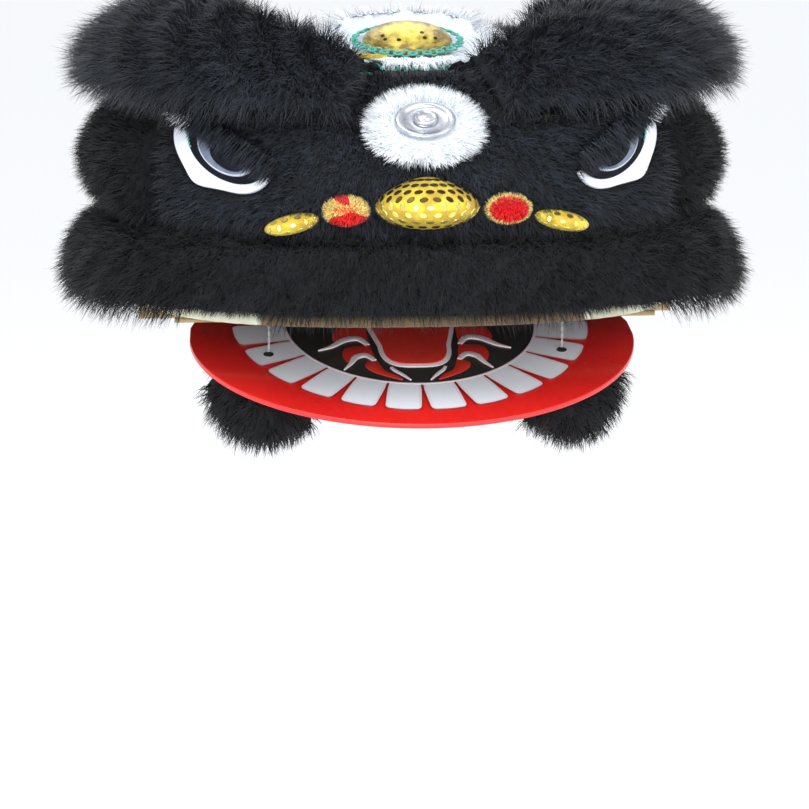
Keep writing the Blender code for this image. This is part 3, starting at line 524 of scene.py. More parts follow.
def roots_on(shape, count, rng, outward, least):
    """Random places on a bmesh where its skin looks outward, and the skin's way there."""
    corners = np.array([[point.co[:] for point in face.verts] for face in shape.faces])
    ways = np.array([[point.normal[:] for point in face.verts] for face in shape.faces])
    middles = corners.mean(axis=1)
    cross = np.cross(corners[:, 1] - corners[:, 0], corners[:, 2] - corners[:, 0])
    areas = np.linalg.norm(cross, axis=1) / 2
    share = np.einsum("ij,ij->i", unit(cross), outward(middles))
    areas = areas * np.clip((share - least) / 0.35, 0, 1)
    picked = rng.choice(len(areas), size=count, p=areas / areas.sum())
    first, second = rng.random((2, count))
    fold = first + second > 1
    first[fold], second[fold] = 1 - first[fold], 1 - second[fold]
    shares = np.stack([1 - first - second, first, second], axis=1)
    points = np.einsum("ij,ijk->ik", shares, corners[picked])
    normals = unit(np.einsum("ij,ijk->ik", shares, ways[picked]) + 0.35 * outward(points))
    return points, normals


def nearest_leader(roots, leaders):
    tree = kdtree.KDTree(len(leaders))
    for index, leader in enumerate(leaders):
        tree.insert(roots[leader], index)
    tree.balance()
    return leaders[np.array([tree.find(root)[1] for root in roots])]


def strands(roots, normals, ways, length, width, rng, lock=12, gather=0.45, rings=3, wild=0.35,
            lift=0.0):
    """The places and colours of tapered flat strands that rise along the normals and bend to the ways."""
    count = len(roots)
    share = np.linspace(0, 1, rings)
    lengths = length * rng.uniform(0.6, 1.15, count)
    rise = unit(normals + wild * rng.normal(size=(count, 3)))
    fall = unit(ways + wild * rng.normal(size=(count, 3)))
    bend = (share - share**2 / 2)[None, :, None] * rise[:, None] + (share**2 / 2)[None, :, None] * fall[:, None]
    paths = roots[:, None] + lengths[:, None, None] * bend
    leaders = nearest_leader(roots, rng.choice(count, max(1, count // lock), replace=False))
    led = paths[leaders] + (roots - roots[leaders])[:, None] * (1 - 0.75 * share)[None, :, None]
    pull = (gather * share * rng.uniform(0.5, 1.0, (count, 1)))[:, :, None]
    paths = paths * (1 - pull) + led * pull
    ahead = unit(np.gradient(paths, axis=1))
    side = np.cross(ahead, normals[:, None] + 0.15 * rng.normal(size=(count, 1, 3)))
    side = unit(side + 1e-4)
    other = np.cross(ahead, side)
    turn = rng.normal(scale=0.5, size=(count, 1, 1))
    side = side * np.cos(turn) + other * np.sin(turn)
    taper = 0.08 + 0.92 * (1 - share) ** 0.7
    half = 0.5 * width * rng.uniform(0.7, 1.3, (count, 1)) * taper[None]
    points = np.stack([paths - side * half[:, :, None], paths + side * half[:, :, None]], axis=2)
    tint = np.empty((count, rings, 2, 4))
    tint[..., 0] = share[None, :, None]
    tint[..., 1] = rng.random(count)[:, None, None]
    tint[..., 2] = rng.random(count)[leaders][:, None, None]
    tint[..., 3] = 1
    return points, tint, unit(normals + 0.3 * rise + np.array((0, 0, lift)))


def strand_piece(name, batches, look, body="root"):
    """One joined mesh of the strands in batches, shaded as one soft coat."""
    points = np.concatenate([batch[0].reshape(-1, 3) for batch in batches])
    tints = np.concatenate([batch[1].reshape(-1, 4) for batch in batches])
    faces = []
    start = 0
    for batch, _, _ in batches:
        count, rings = batch.shape[:2]
        first = start + (np.arange(count)[:, None] * rings + np.arange(rings - 1)) * 2
        faces.append(np.stack([first, first + 1, first + 3, first + 2], axis=-1).reshape(-1, 4))
        start += count * rings * 2
    faces = np.concatenate(faces)
    mesh = bpy.data.meshes.new(name)
    mesh.vertices.add(len(points))
    mesh.vertices.foreach_set("co", points.ravel())
    mesh.loops.add(faces.size)
    mesh.loops.foreach_set("vertex_index", faces.ravel())
    mesh.polygons.add(len(faces))
    mesh.polygons.foreach_set("loop_start", np.arange(0, faces.size, 4))
    mesh.update(calc_edges=True)
    mesh.shade_smooth()
    mesh.color_attributes.new("hair", "FLOAT_COLOR", "POINT")
    mesh.color_attributes["hair"].data.foreach_set("color", tints.ravel())
    soft = [np.repeat(ways, batch.shape[1] * 2, axis=0) for batch, _, ways in batches]
    mesh.normals_split_custom_set_from_vertices(np.concatenate(soft))
    return add_piece(name, mesh, look, body)


def from_core(points):
    """Away from the middle of the head."""
    core = np.stack([np.zeros(len(points)), np.full(len(points), 0.01), np.minimum(points[:, 2], 0.10)], axis=1)
    return unit(points - core)


def hang(points, normals, down, aside=0.0, ahead=0.0):
    """The way that fur is combed: out, down, and a little to the sides or ahead."""
    ways = normals.copy()
    ways[:, 2] -= down
    ways[:, 0] += aside * np.sign(points[:, 0]) * np.minimum(np.abs(points[:, 0]) / 0.1, 1)
    ways[:, 1] -= ahead
    return unit(ways)


def furred(node, count, length, width, look, under, comb, seed, body="root", outward=from_core, inset=0.005, least=-0.1,
           smoothing=3, keep=None, lean=0.0, height=None, **style):
    """Replaces a fur node by its undercoat and a coat of strands, whose length may differ from place to place."""
    rng = np.random.default_rng(seed)
    shape = undercoat(node, inset, smoothing)
    if height:
        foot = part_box(node)[0].z
        for point in shape.verts:
            point.co.z = foot + height(point.co) * (point.co.z - foot)
        shape.normal_update()
    roots, normals = roots_on(shape, count, rng, outward, least)
    finish_shape(node + "_undercoat", shape, under, body, (node,), smooth=180)
    if keep:
        kept = keep(roots)
        roots, normals = roots[kept], normals[kept]
    reach = length(roots) if callable(length) else length
    normals = unit(normals + lean * outward(roots))
    batch = strands(roots, normals, comb(roots, normals), reach, width, rng, **style)
    strand_piece(node + "_strands", [batch], look, body)


def share_of(values, low, high):
    return np.clip((values - low) / (high - low), 0, 1)


def brow_reach(points):
    """Longer over the eyes and at the outer sides, and shorter on top."""
    return 0.031 - 0.008 * share_of(points[:, 2], 0.26, 0.30) + 0.014 * share_of(points[:, 2], 0.19, 0.12) + 0.012 * share_of(np.abs(points[:, 0]), 0.20, 0.30)


def lip_reach(points):
    """Longer at the bottom, where it hangs over the mouth's rim, but not over the tape at the rim's ends."""
    across = np.abs(points[:, 0])
    taped = share_of(across, 0.150, 0.165) * share_of(across, 0.245, 0.230) * share_of(points[:, 1], -0.08, -0.11)
    return 0.025 + (0.009 - 0.026 * taped) * share_of(points[:, 2], 0.04, 0.0)


def clear_of_trims(points):
    """Leaves the horn's foot with its braid, and the lower half of each eye, in view."""
    kept = np.hypot(points[:, 0], points[:, 1] - HORN_Y) > np.where(np.abs(points[:, 0]) < 0.065, 0.104, 0.092)
    low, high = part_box("horn_flap")
    low -= Vector((0.006, 0.035, 0.014))
    high += Vector((0.006, 0, 0.030))
    kept &= ~((points > np.array(low)) & (points < np.array(high))).all(axis=1)
    for seat in EYE_SEATS.values():
        back = np.array(seat.inverted())
        local = points @ back[:3, :3].T + back[:3, 3]
        inside = (local[:, 0] / (EYE_HALF_WIDTH + 0.003)) ** 2 + (local[:, 1] / (EYE_HALF_HEIGHT + 0.003)) ** 2 < 1
        kept &= ~(inside & (local[:, 1] < 0.012) & (np.abs(local[:, 2]) < 0.05))
    return kept


def build_fur():
    furred("lip_fur", 31000, lip_reach, 0.0008, "lip_fur", "black_under", lambda p, n: hang(p, n, 1.1, 0.1), 11)
    furred("face_fur", 19000, 0.021, 0.0008, "brow_fur", "black_under", lambda p, n: hang(p, n, 0.9, 0.5), 12,
           inset=0.003, least=-0.6, keep=clear_of_trims)
    for side, seed in (("left", 21), ("right", 22)):
        furred("brow_fur_" + side, 29000, brow_reach, 0.0008, "brow_fur", "black_under",
               lambda p, n: hang(p, n, 0.8 + 0.8 * share_of(p[:, 2], 0.18, 0.12), 0.15), seed, inset=0.008,
               keep=clear_of_trims)
        furred("cheek_fur_" + side, 9500, 0.021, 0.0008, "lip_fur", "black_under",
               lambda p, n: hang(p, n, 0.6, 0.3), seed + 10, least=-0.6,
               keep=clear_of_trims)
    furred("back_fur", 17000, 0.026, 0.0010, "lip_fur", "black_under", lambda p, n: hang(p, n, 1.2), 41)
    furred("crown_fur", 7000, 0.020, 0.0009, "brow_fur", "black_under", lambda p, n: hang(p, n, 0.3), 42, inset=0.002,
           keep=clear_of_trims)
    for side, seed in (("left", 51), ("right", 52)):
        furred("beard_" + side, 3600, 0.024, 0.0008, "lip_fur", "black_under", lambda p, n: hang(p, n, 1.2), seed,
               body="jaw", outward=lambda p: np.tile((0.0, 0.0, -1.0), (len(p), 1)), inset=0.006, least=-0.3)
    build_parting_fur()


def build_parting_fur():
    """Fur on the shell itself, in the narrow places between the fur pieces."""
    rng = np.random.default_rng(43)
    shape = bmesh.new()
    shape.from_mesh(NODES["head_shell"].data)
    bmesh.ops.remove_doubles(shape, verts=shape.verts, dist=1e-5)
    shape.normal_update()
    bmesh.ops.triangulate(shape, faces=shape.faces)
    roots, normals = roots_on(shape, 26000, rng, from_core, 0.2)
    shape.free()
    kept = (roots[:, 2] > 0.03) & clear_of_trims(roots)
    roots, normals = roots[kept], normals[kept]
    batch = strands(roots, normals, hang(roots, normals, 0.7), 0.034, 0.0010, rng)
    strand_piece("parting_strands", [batch], "brow_fur")


# Rosette
def build_rosette():
    place, low, high = flat_place("rosette_fur")
    outward = place.to_3x3() @ UP
    way = np.array(outward[:])

    def from_mirror(points):
        middle = np.array((place @ Vector(((low.x + high.x) / 2, (low.y + high.y) / 2, low.z)))[:])
        return unit(points - middle)

    mirror_place, mirror_low, mirror_high = flat_place("mirror_disc")
    mirror_middle = mirror_place @ ((mirror_low + mirror_high) / 2)

    def clear_of_mirror(points):
        apart = points - np.array(mirror_middle[:])
        flat = apart - np.outer(apart @ way, way)
        return np.hypot(flat[:, 0] / 0.033, np.linalg.norm(flat[:, 1:], axis=1) / 0.0235) > 1

    furred("rosette_fur", 9000, 0.014, 0.0007, "white_fur", "white_under",
           lambda p, n: unit(from_mirror(p) * 1.0 + 0.12 * way), 61, outward=from_mirror, inset=0.003, least=-0.2,
           keep=clear_of_mirror, gather=0.4, lock=9, rings=4, lift=0.5)
    place, low, high = flat_place("mirror_disc")
    middle = Vector(((low.x + high.x) / 2, (low.y + high.y) / 2, low.z))
    half_width = (high.x - low.x) / 2
    half_height = (high.y - low.y) / 2
    profile = ((1.0, 0.0), (1.0, 0.0018), (0.93, 0.0036), (0.84, 0.0038), (0.76, 0.0022), (0.70, 0.0012), (0.50, 0.0016))
    turned_disc("mirror_dish", place @ Matrix.Translation(middle), half_width, half_height, profile, "silver",
                ("mirror_disc",))
    boss_place, boss_low, boss_high = flat_place("mirror_boss")
    boss_middle = Vector(((boss_low.x + boss_high.x) / 2, (boss_low.y + boss_high.y) / 2, boss_low.z - 0.0022))
    profile = ((1.0, 0.0), (1.0, 0.0030), (0.90, 0.0052), (0.78, 0.0058), (0.66, 0.0048), (0.46, 0.0052), (0.24, 0.0066))
    turned_disc("mirror_stud", boss_place @ Matrix.Translation(boss_middle), (boss_high.x - boss_low.x) / 2,
                (boss_high.y - boss_low.y) / 2, profile, "silver", ("mirror_boss",))


def turned_disc(name, place, half_width, half_height, profile, look, stands_for, body="root", segments=72, cut=None):
    """An oval disc spun from a profile of shares of its width and heights, cut level above a height."""
    shape = bmesh.new()
    line = [shape.verts.new((share, 0, height)) for share, height in profile]
    edges = [shape.edges.new(pair) for pair in zip(line, line[1:])]
    bmesh.ops.spin(shape, geom=line + edges, cent=(0, 0, 0), axis=(0, 0, 1), angle=2 * math.pi, steps=segments,
                   use_merge=True)
    bmesh.ops.remove_doubles(shape, verts=shape.verts, dist=1e-5)
    bmesh.ops.holes_fill(shape, edges=shape.edges, sides=0)
    bmesh.ops.scale(shape, verts=shape.verts, vec=(half_width, half_height, 1))
    if cut is not None:
        bmesh.ops.bisect_plane(shape, geom=shape.verts[:] + shape.edges[:] + shape.faces[:], plane_co=(0, cut, 0),
                               plane_no=(0, 1, 0), clear_outer=True)
        bmesh.ops.holes_fill(shape, edges=shape.edges, sides=0)
    bmesh.ops.transform(shape, verts=shape.verts, matrix=place)
    return finish_shape(name, shape, look, body, stands_for, smooth=50)


# Eyes
def plate_profile(thickness, edge, crown):
    """A plate with a rounded rim and a face that rises by its crown to the middle."""
    turns = [math.radians(turn) for turn in (0, 30, 60, 90)]
    rim = [(1 - edge * (1 - math.cos(turn)), thickness * (0.6 + 0.4 * math.sin(turn))) for turn in turns]
    top = [(share, thickness + crown * (1 - share**2)) for share in (0.75, 0.5, 0.25, 0.0)]
    return [(1.0, 0.0)] + rim + top


EYE_LAYERS = (
    # name, look, share of the width and height, move inwards, drop, lift, thickness, rim, crown, cut
    ("socket", "eye_black", 0.80, 0.73, 0.006, 0.0022, 0.0043, 0.0022, 0.04, 0.0006, 0.0018),
    ("iris_edge", "iris_edge", 0.590, 0.580, 0.007, 0.002, 0.0050, 0.0040, 0.06, 0.0010, 0.003),
    ("iris", "iris", 0.5625, 0.543, 0.007, 0.002, 0.0060, 0.0040, 0.08, 0.0035, 0.003),
    ("pupil", "eye_black", 0.350, 0.262, 0.015, -0.004, 0.0118, 0.0016, 0.20, 0.0008, 0.007),
)
EYE_NODES = {"socket": "eye_socket_", "iris": "eye_iris_", "pupil": "eye_pupil_"}


def build_eyes():
    for side, sign in SIDES.items():
        seat = EYE_SEATS[side]
        for name, look, wide, tall, inwards, drop, lift, thickness, edge, crown, cut in EYE_LAYERS:
            stands_for = (EYE_NODES[name] + side,) if name in EYE_NODES else ()
            turned_disc("eye_" + name + "_gloss_" + side, seat @ Matrix.Translation((-sign * inwards, drop, lift)),
                        wide * EYE_HALF_WIDTH, tall * EYE_HALF_HEIGHT, plate_profile(thickness, edge, crown), look,
                        stands_for, segments=96, cut=cut)
        white = turned_disc("eye_white_gloss_" + side, Matrix.Identity(4), EYE_HALF_WIDTH, EYE_HALF_HEIGHT,
                            plate_profile(0.0043, 0.05, 0.0008), "eye_white", ("eye_white_" + side,), segments=96, cut=0.004)
        for point in white.data.vertices:
            turn = math.degrees(math.atan2(point.co.y, point.co.x * -sign)) % 360
            swell = 1 + 0.13 * math.exp(-(((turn - 257) / 22) ** 2)) - 0.05 * math.exp(-(((turn - 310) / 22) ** 2))
            point.co.x *= swell
            point.co.y *= swell
        white.data.transform(seat)
        build_lashes(side, sign, np.array(seat))


def build_lashes(side, sign, seat):
    """Brow fur that hangs over the top of the eye, with a white tuft and a few small sequins at its outer end."""
    rng = np.random.default_rng(60 + sign)

    def fringe(count, across, up, ahead, length, width, slide):
        local = np.stack([rng.uniform(*limits, count) for limits in (across, up, ahead)], axis=1)
        roots = local @ seat[:3, :3].T + seat[:3, 3]
        normals = np.tile(seat[:3, 2], (count, 1))
        ways = np.tile(seat[:3, :3] @ np.array((slide, -1.0, 0.15)), (count, 1))
        start = unit(normals * 0.5 + ways)
        made = strands(roots, start, ways, length, width, rng, lock=9, wild=0.22)
        return made[0], made[1], normals

    black = [fringe(2600, (-0.064, 0.070), (0.006, 0.022), (0.006, 0.022), 0.019, 0.0009, -0.1 * sign),
             fringe(500, (-0.066, 0.070), (0.003, 0.010), (0.004, 0.012), 0.012, 0.0008, -0.2 * sign)]
    strand_piece("eye_lashes_" + side, black, "brow_fur")
    outer = sorted((sign * 0.040, sign * 0.062))
    tuft = fringe(90, outer, (0.004, 0.012), (0.014, 0.022), 0.015, 0.0009, sign * 0.5)
    strand_piece("eye_tuft_" + side, [tuft], "white_fur")
    places = []
    for index in range(9):
        turn = math.radians(176 + index * 6)
        local = Vector((-sign * 0.045 * math.cos(turn), 0.026 * math.sin(turn) + 0.004, 0.0078))
        places.append(Matrix(seat.tolist()) @ Matrix.Translation(local))
    sequins("eye_trim_" + side, places, (0.0013, 0.0013), [0.5] * 9, "turquoise")


# Nose
def sequins(name, places, size, tones, look="sequin", body="root"):
    """Small domed discs on their places, joined, each with its own tone."""
    shape = bmesh.new()
    layer = shape.verts.layers.float_color.new("tone")
    for place, tone in zip(places, tones):
        oval = place @ Matrix.Diagonal((size[0], size[1], 1, 1))
        made = bmesh.ops.create_cone(shape, cap_ends=True, segments=12, radius1=1, radius2=0.8, depth=0.0007, matrix=oval)
        for point in made["verts"]:
            point[layer] = (tone, tone, tone, 1)
    return finish_shape(name, shape, look, body)


def dome_surface(across, up, half_width, half_height, depth):
    """How far a dome stands at a place, and the way that it looks there."""
    stand = depth * math.sqrt(max(1 - (across / half_width) ** 2 - (up / half_height) ** 2, 0.01))
    return stand, Vector((across / half_width**2, up / half_height**2, stand / depth**2)).normalized()


def gold_dome(name, place, half_width, half_height, depth, stands_for, spacing, seed, narrow=0.0, size=(0.0044, 0.0026),
              body="root", painted_edge_shade=2.0, look="gold"):
    """A dome of foil cloth with rows of sequins on it."""
    shape = bmesh.new()
    bmesh.ops.create_uvsphere(shape, u_segments=64, v_segments=32, radius=1)
    bmesh.ops.bisect_plane(shape, geom=shape.verts[:] + shape.edges[:] + shape.faces[:], plane_co=(0, 0, 0),
                           plane_no=(0, 0, -1), clear_outer=True)
    bmesh.ops.holes_fill(shape, edges=shape.edges, sides=0)

    def formed(point):
        wide = half_width * (1 - narrow * max(point.y + 0.25, 0) ** 1.5)
        return Vector((point.x * wide, point.y * half_height, point.z * depth))

    for point in shape.verts:
        point.co = formed(point.co)
    bmesh.ops.transform(shape, verts=shape.verts, matrix=place)
    finish_shape(name, shape, look, body, stands_for, smooth=60)
    if spacing is None:
        return
    rng = np.random.default_rng(seed)
    places, tones = [], []
    rows = int(math.pi * half_height / spacing[1]) + 1
    for row in range(-rows, rows + 1):
        lift = row * spacing[1] / half_height
        if abs(lift) > 1.45:
            continue
        for column in range(-8, 9):
            lean = (column + 0.5 * (row % 2)) * spacing[0] / half_width
            if math.hypot(lean, lift) > 1.42:
                continue
            reach = math.hypot(lean, lift)
            bow = math.sin(min(reach, 1.5))
            point = Vector((lean, lift, 0)) / max(reach, 1e-6) * bow if reach else Vector()
            point.z = math.cos(min(reach, 1.5))
            here = formed(point)
            way = Vector((here.x / half_width**2, here.y / half_height**2, here.z / depth**2)).normalized()
            turned = way.to_track_quat("Z", "Y").to_matrix().to_4x4()
            places.append(place @ Matrix.Translation(here + way * 0.0004) @ turned)
            # Painted reflection and shade: bright in a band a little below the middle, darker towards the top and
            # bottom rows and at the sides, as tilted sequins look.
            tone = 1.15 - painted_edge_shade * abs(point.y + 0.22) - 1.6 * max(abs(point.x) - 0.72, 0)
            tones.append(min(max(tone + rng.normal(scale=0.10), 0), 1))
    sequins(name + "_sequins", places, size, tones, body=body)


def build_nose():
    front = Matrix.Rotation(math.radians(90), 4, "X")
    place = Matrix.Translation(NOSE_MIDDLE) @ front
    gold_dome("nose_cloth", place, 0.0525, 0.026, 0.036, ("nose_bulb",), (0.0150, 0.0080), 71, narrow=0.27)
    for side, sign in SIDES.items():
        low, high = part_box("nose_wing_" + side)
        middle = (low + high) / 2
        slope = Matrix.Rotation(sign * math.radians(-12), 4, "Z")
        wing = Matrix.Translation((middle.x, -0.225, middle.z)) @ front @ slope
        gold_dome("nose_strap_" + side, wing, 0.0275, 0.0098, 0.0085, ("nose_wing_" + side,), (0.0140, 0.0070), 72,
                  size=(0.0034, 0.0022), painted_edge_shade=1.0)
        build_pompom(side, sign)


def build_pompom(side, sign):
    """A ball of cut yarn in red and yellow."""
    low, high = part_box("pompom_" + side)
    middle = Vector(((low.x + high.x) / 2, -0.225, (low.z + high.z) / 2))
    half_width = (high.x - low.x) / 2
    half_height = (high.z - low.z) / 2
    depth = 0.022
    rng = np.random.default_rng(80 + sign)
    count = 3200
    lean = rng.random(count)
    turn = rng.random(count) * 2 * np.pi
    wide = np.sqrt(1 - lean**2)
    ball = np.stack([wide * np.cos(turn), -lean, wide * np.sin(turn)], axis=1)
    sizes = np.array((half_width, depth, half_height))
    roots = np.array(middle[:]) + ball * sizes * 0.76
    normals = unit(ball / sizes)
    batch = strands(roots, normals, normals, 0.0055, 0.0014, rng, lock=10, gather=0.2, rings=3, wild=0.12, lift=0.5)
    across, up = ball[:, 0], ball[:, 2]
    if side == "left":
        patch = (up > 0.45 - 0.55 * across) & (across < 0.45) & (up > 0.15)
        low_patch = (up < 0.05 - 0.5 * np.abs(across - 0.15)) & (across > -0.75)
        yellow = 1.0 - (patch & (across < 0.1) | low_patch)
    else:
        yellow = (np.hypot(across, up) > 0.86).astype(float)
    batch[1][..., 2] = yellow[:, None, None]
    strand_piece("pompom_yarn_" + side, [batch], "yarn")
    shape = bmesh.new()
    bmesh.ops.create_uvsphere(shape, u_segments=32, v_segments=16, radius=1)
    bmesh.ops.bisect_plane(shape, geom=shape.verts[:] + shape.edges[:] + shape.faces[:], plane_co=(0, 0, 0),
                           plane_no=(0, 1, 0), clear_outer=True)
    bmesh.ops.holes_fill(shape, edges=shape.edges, sides=0)
    layer = shape.verts.layers.float_color.new("hair")
    for point in shape.verts:
        rim = math.hypot(point.co.x, point.co.z) > 0.8
        point[layer] = (0.2, 0.5, 1.0 if rim else 0.0, 1)
        point.co = middle + Vector([point.co[axis] * sizes[axis] * 0.80 for axis in range(3)])
    finish_shape("pompom_core_" + side, shape, "yarn", "root", ("pompom_" + side,))


# Horn
def chain(name, points, ways, link, wire, look, stands_for, body="root", spread=0.0):
    """A crocheted chain: flat links along a closed path, every other one turned a little."""
    shape = bmesh.new()
    count = len(points)
    for index in range(count):
        here, after = points[index], points[(index + 1) % count]
        along = (after - here).normalized()
        up = ways[index]
        side = up.cross(along).normalized()
        turned = Matrix((along, side, along.cross(side))).transposed().to_4x4()
        tip = Matrix.Rotation(math.radians(18 if index % 2 else -18), 4, "X")
        ring = shape_ring(shape, link, wire)
        lift = Matrix.Translation((here + after) / 2 + up * spread) @ turned @ tip
        bmesh.ops.transform(shape, verts=ring, matrix=lift)
    return finish_shape(name, shape, look, body, stands_for, smooth=180)


def shape_ring(shape, size, wire):
    """An oval link of wire, spun from a small square."""
    long_way, short_way = size
    made = bmesh.ops.create_circle(shape, segments=5, radius=wire)
    bmesh.ops.rotate(shape, verts=made["verts"], cent=(0, 0, 0), matrix=Matrix.Rotation(math.radians(90), 3, "X"))
    bmesh.ops.translate(shape, verts=made["verts"], vec=(1, 0, 0))
    edges = list({edge for point in made["verts"] for edge in point.link_edges})
    before = set(shape.verts) - set(made["verts"])
    bmesh.ops.spin(shape, geom=made["verts"] + edges, cent=(0, 0, 0), axis=(0, 0, 1), angle=2 * math.pi, steps=10,
                   use_merge=True)
    ring = [point for point in shape.verts if point not in before]
    for point in ring:
        turn = math.atan2(point.co.y, point.co.x)
        out = math.hypot(point.co.x, point.co.y) - 1
        point.co.x = (long_way + out) * math.cos(turn)
        point.co.y = (short_way + out) * math.sin(turn)
    return ring


def build_horn():
    tilt = math.tan(HORN_TILT)

    def from_horn(points):
        core = np.array((0, HORN_Y, 0.236))
        return unit((points - core) * np.array((1, 1, 1.3)))

    def comb(points, normals):
        ways = from_horn(points)
        ways[:, 2] = -0.75 + 0.9 * share_of(points[:, 1], HORN_Y - 0.02, HORN_Y + 0.04)
        return unit(ways)

    def horn_reach(points):
        outer = share_of(np.hypot(points[:, 0], points[:, 1] - HORN_Y), 0.062, 0.082)
        return 0.009 + (0.020 - 0.013 * share_of(points[:, 1], HORN_Y - 0.03, HORN_Y - 0.06)) * outer

    def height(point):
        """Lower in front, where the dome and its chain look over it."""
        return 0.62 + 0.38 * min(max((point.y - HORN_Y - 0.005) / 0.04, 0), 1)

    def clear_of_dome(points):
        low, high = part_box("horn_flap")
        flap = (points[:, 0] > low.x - 0.008) & (points[:, 0] < high.x) & (points[:, 1] < high.y + 0.014)
        flap &= points[:, 1] > low.y - 0.004
        return (np.hypot(points[:, 0], points[:, 1] - HORN_Y) > 0.0615) & ~flap

    furred("horn_fur", 14000, horn_reach, 0.0008, "white_fur", "white_under", comb, 91, outward=from_horn, inset=0.003,
           least=0.15, lean=1.0, height=height, keep=clear_of_dome, gather=0.4, lock=10, rings=4, lift=0.9)
    seat = Matrix.Translation((0, HORN_Y, HORN_SEAT)) @ Matrix.Rotation(HORN_TILT, 4, "X")
    cap = seat @ Matrix.Translation((0, 0, 0.0003))
    gold_dome("horn_cap", cap, 0.045, 0.045, 0.020, ("horn_dome",), None, 92, look="dome")
    places = []
    for across, ahead in ((-0.027, 0.020), (-0.025, 0.027), (-0.012, 0.033), (0.012, 0.022), (0.014, 0.030), (0.025, 0.026)):
        stand, way = dome_surface(across, -ahead, 0.045, 0.045, 0.020)
        turned = way.to_track_quat("Z", "Y").to_matrix().to_4x4()
        places.append(cap @ Matrix.Translation(Vector((across, -ahead, stand)) + way * 0.0004) @ turned)
    sequins("horn_cap_dots", places, (0.0024, 0.0020), [0.0] * len(places))
    links = 46
    turns = [2 * math.pi * index / links for index in range(links)]
    points = [seat @ Vector((BRAID_RADIUS * math.cos(turn), BRAID_RADIUS * math.sin(turn), 0.0040)) for turn in turns]
    outward = [(seat.to_3x3() @ Vector((0.5 * math.cos(turn), 0.5 * math.sin(turn), 1))).normalized() for turn in turns]
    chain("horn_chain", points, outward, (0.0046, 0.0034), 0.0010, "turquoise", ("horn_braid",))
    low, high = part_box("horn_base_trim")
    middle = (low + high) / 2
    half_width = (high.x - low.x) / 2 - 0.004
    half_depth = (high.y - low.y) / 2 - 0.004
    links = 56
    turns = [2 * math.pi * index / links for index in range(links)]
    points = [middle + Vector((half_width * math.cos(turn), half_depth * math.sin(turn), 0)) for turn in turns]
    outward = [Vector((math.cos(turn), math.sin(turn), 0.4)).normalized() for turn in turns]
    chain("horn_base_chain", points, outward, (0.0058, 0.0052), 0.0014, "turquoise", ("horn_base_trim",))
    build_flap()


def build_flap():
    """The sequinned tab at the horn's side."""
    shape = bmesh.new()
    shape.from_mesh(NODES["horn_flap"].data)
    bmesh.ops.remove_doubles(shape, verts=shape.verts, dist=1e-5)
    bmesh.ops.dissolve_limit(shape, angle_limit=math.radians(1), verts=shape.verts, edges=shape.edges)
    rounded(shape, [edge for edge in shape.edges if edge.calc_face_angle(0) > 1.0], 0.0005, 2)
    bmesh.ops.translate(shape, verts=shape.verts, vec=(-0.004, -0.003, 0.006))
    finish_shape("horn_tab", shape, "gold", "root", ("horn_flap",))
    low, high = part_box("horn_flap")
    sequins("horn_tab_dot", [Matrix.Translation((low.x + 0.006, high.y - 0.012, high.z + 0.0062))], (0.0024, 0.0024), [0.0])


# Jaw
def board_shape(outlines, low, high, bevel=0.0004, segments=2, rims=()):
    """Flat painted shapes on the board, raised between two heights, with softened top edges.

    Each rim is a width with a colour that its outer edge takes in the piece's attribute.
    """
    shape = bmesh.new()
    layer = shape.verts.layers.float_color.new("rim")
    for outline in outlines:
        shape.faces.new([shape.verts.new((across, -along, low)) for across, along in outline])
    made = bmesh.ops.extrude_face_region(shape, geom=shape.faces[:], use_keep_orig=True)
    lifted = [part for part in made["geom"] if isinstance(part, bmesh.types.BMVert)]
    bmesh.ops.translate(shape, verts=lifted, vec=(0, 0, high - low))
    bmesh.ops.recalc_face_normals(shape, faces=shape.faces)
    outer = rims[0][1] if rims else (0, 0, 0, 1)
    for point in shape.verts:
        point[layer] = outer
    tops = [face for face in shape.faces if face.normal.z > 0.9]
    if bevel:
        rounded(shape, list({edge for face in tops for edge in face.edges}), bevel, segments)
    for index, (width, _) in enumerate(rims):
        tops = [face for face in shape.faces if face.normal.z > 0.99 and len(face.verts) > 8]
        bmesh.ops.inset_region(shape, faces=tops, thickness=width, use_even_offset=True)
        colour = rims[index + 1][1] if index + 1 < len(rims) else (0, 0, 0, 1)
        tops = [face for face in shape.faces if face.normal.z > 0.99 and len(face.verts) > 8]
        for face in tops:
            for point in face.verts:
                point[layer] = colour
    bmesh.ops.triangulate(shape, faces=[face for face in shape.faces if len(face.verts) > 4])
    bmesh.ops.transform(shape, verts=shape.verts, matrix=BOARD)
    return shape


def arch(half_width, length, angle, start=MOUTH_START):
    turn = math.radians(angle)
    return (half_width * math.cos(turn), start + length * math.sin(turn))


def curve_through(points, share_steps=6):
    """A smooth line through points of any size."""
    points = [np.array(point, float) for point in points]
    line = []
    last = len(points) - 1
    for index in range(last):
        before, near, far, after = (points[min(max(index + k, 0), last)] for k in (-1, 0, 1, 2))
        for step in range(share_steps):
            share = step / share_steps
            bend = (2 * before - 5 * near + 4 * far - after) * share**2 + (3 * near - before - 3 * far + after) * share**3
            line.append(near + 0.5 * ((far - before) * share + bend))
    line.append(points[-1])
    return line


def stroke(rows):
    """The outline of a brush stroke through rows of across, along and width."""
    line = curve_through(rows)
    one_side, other_side = [], []
    for index, here in enumerate(line):
        way = line[min(index + 1, len(line) - 1)] - line[max(index - 1, 0)]
        way = way[:2] / np.linalg.norm(way[:2])
        half = here[2] / 2
        one_side.append((here[0] - way[1] * half, here[1] + way[0] * half))
        other_side.append((here[0] + way[1] * half, here[1] - way[0] * half))
    return one_side + other_side[::-1]


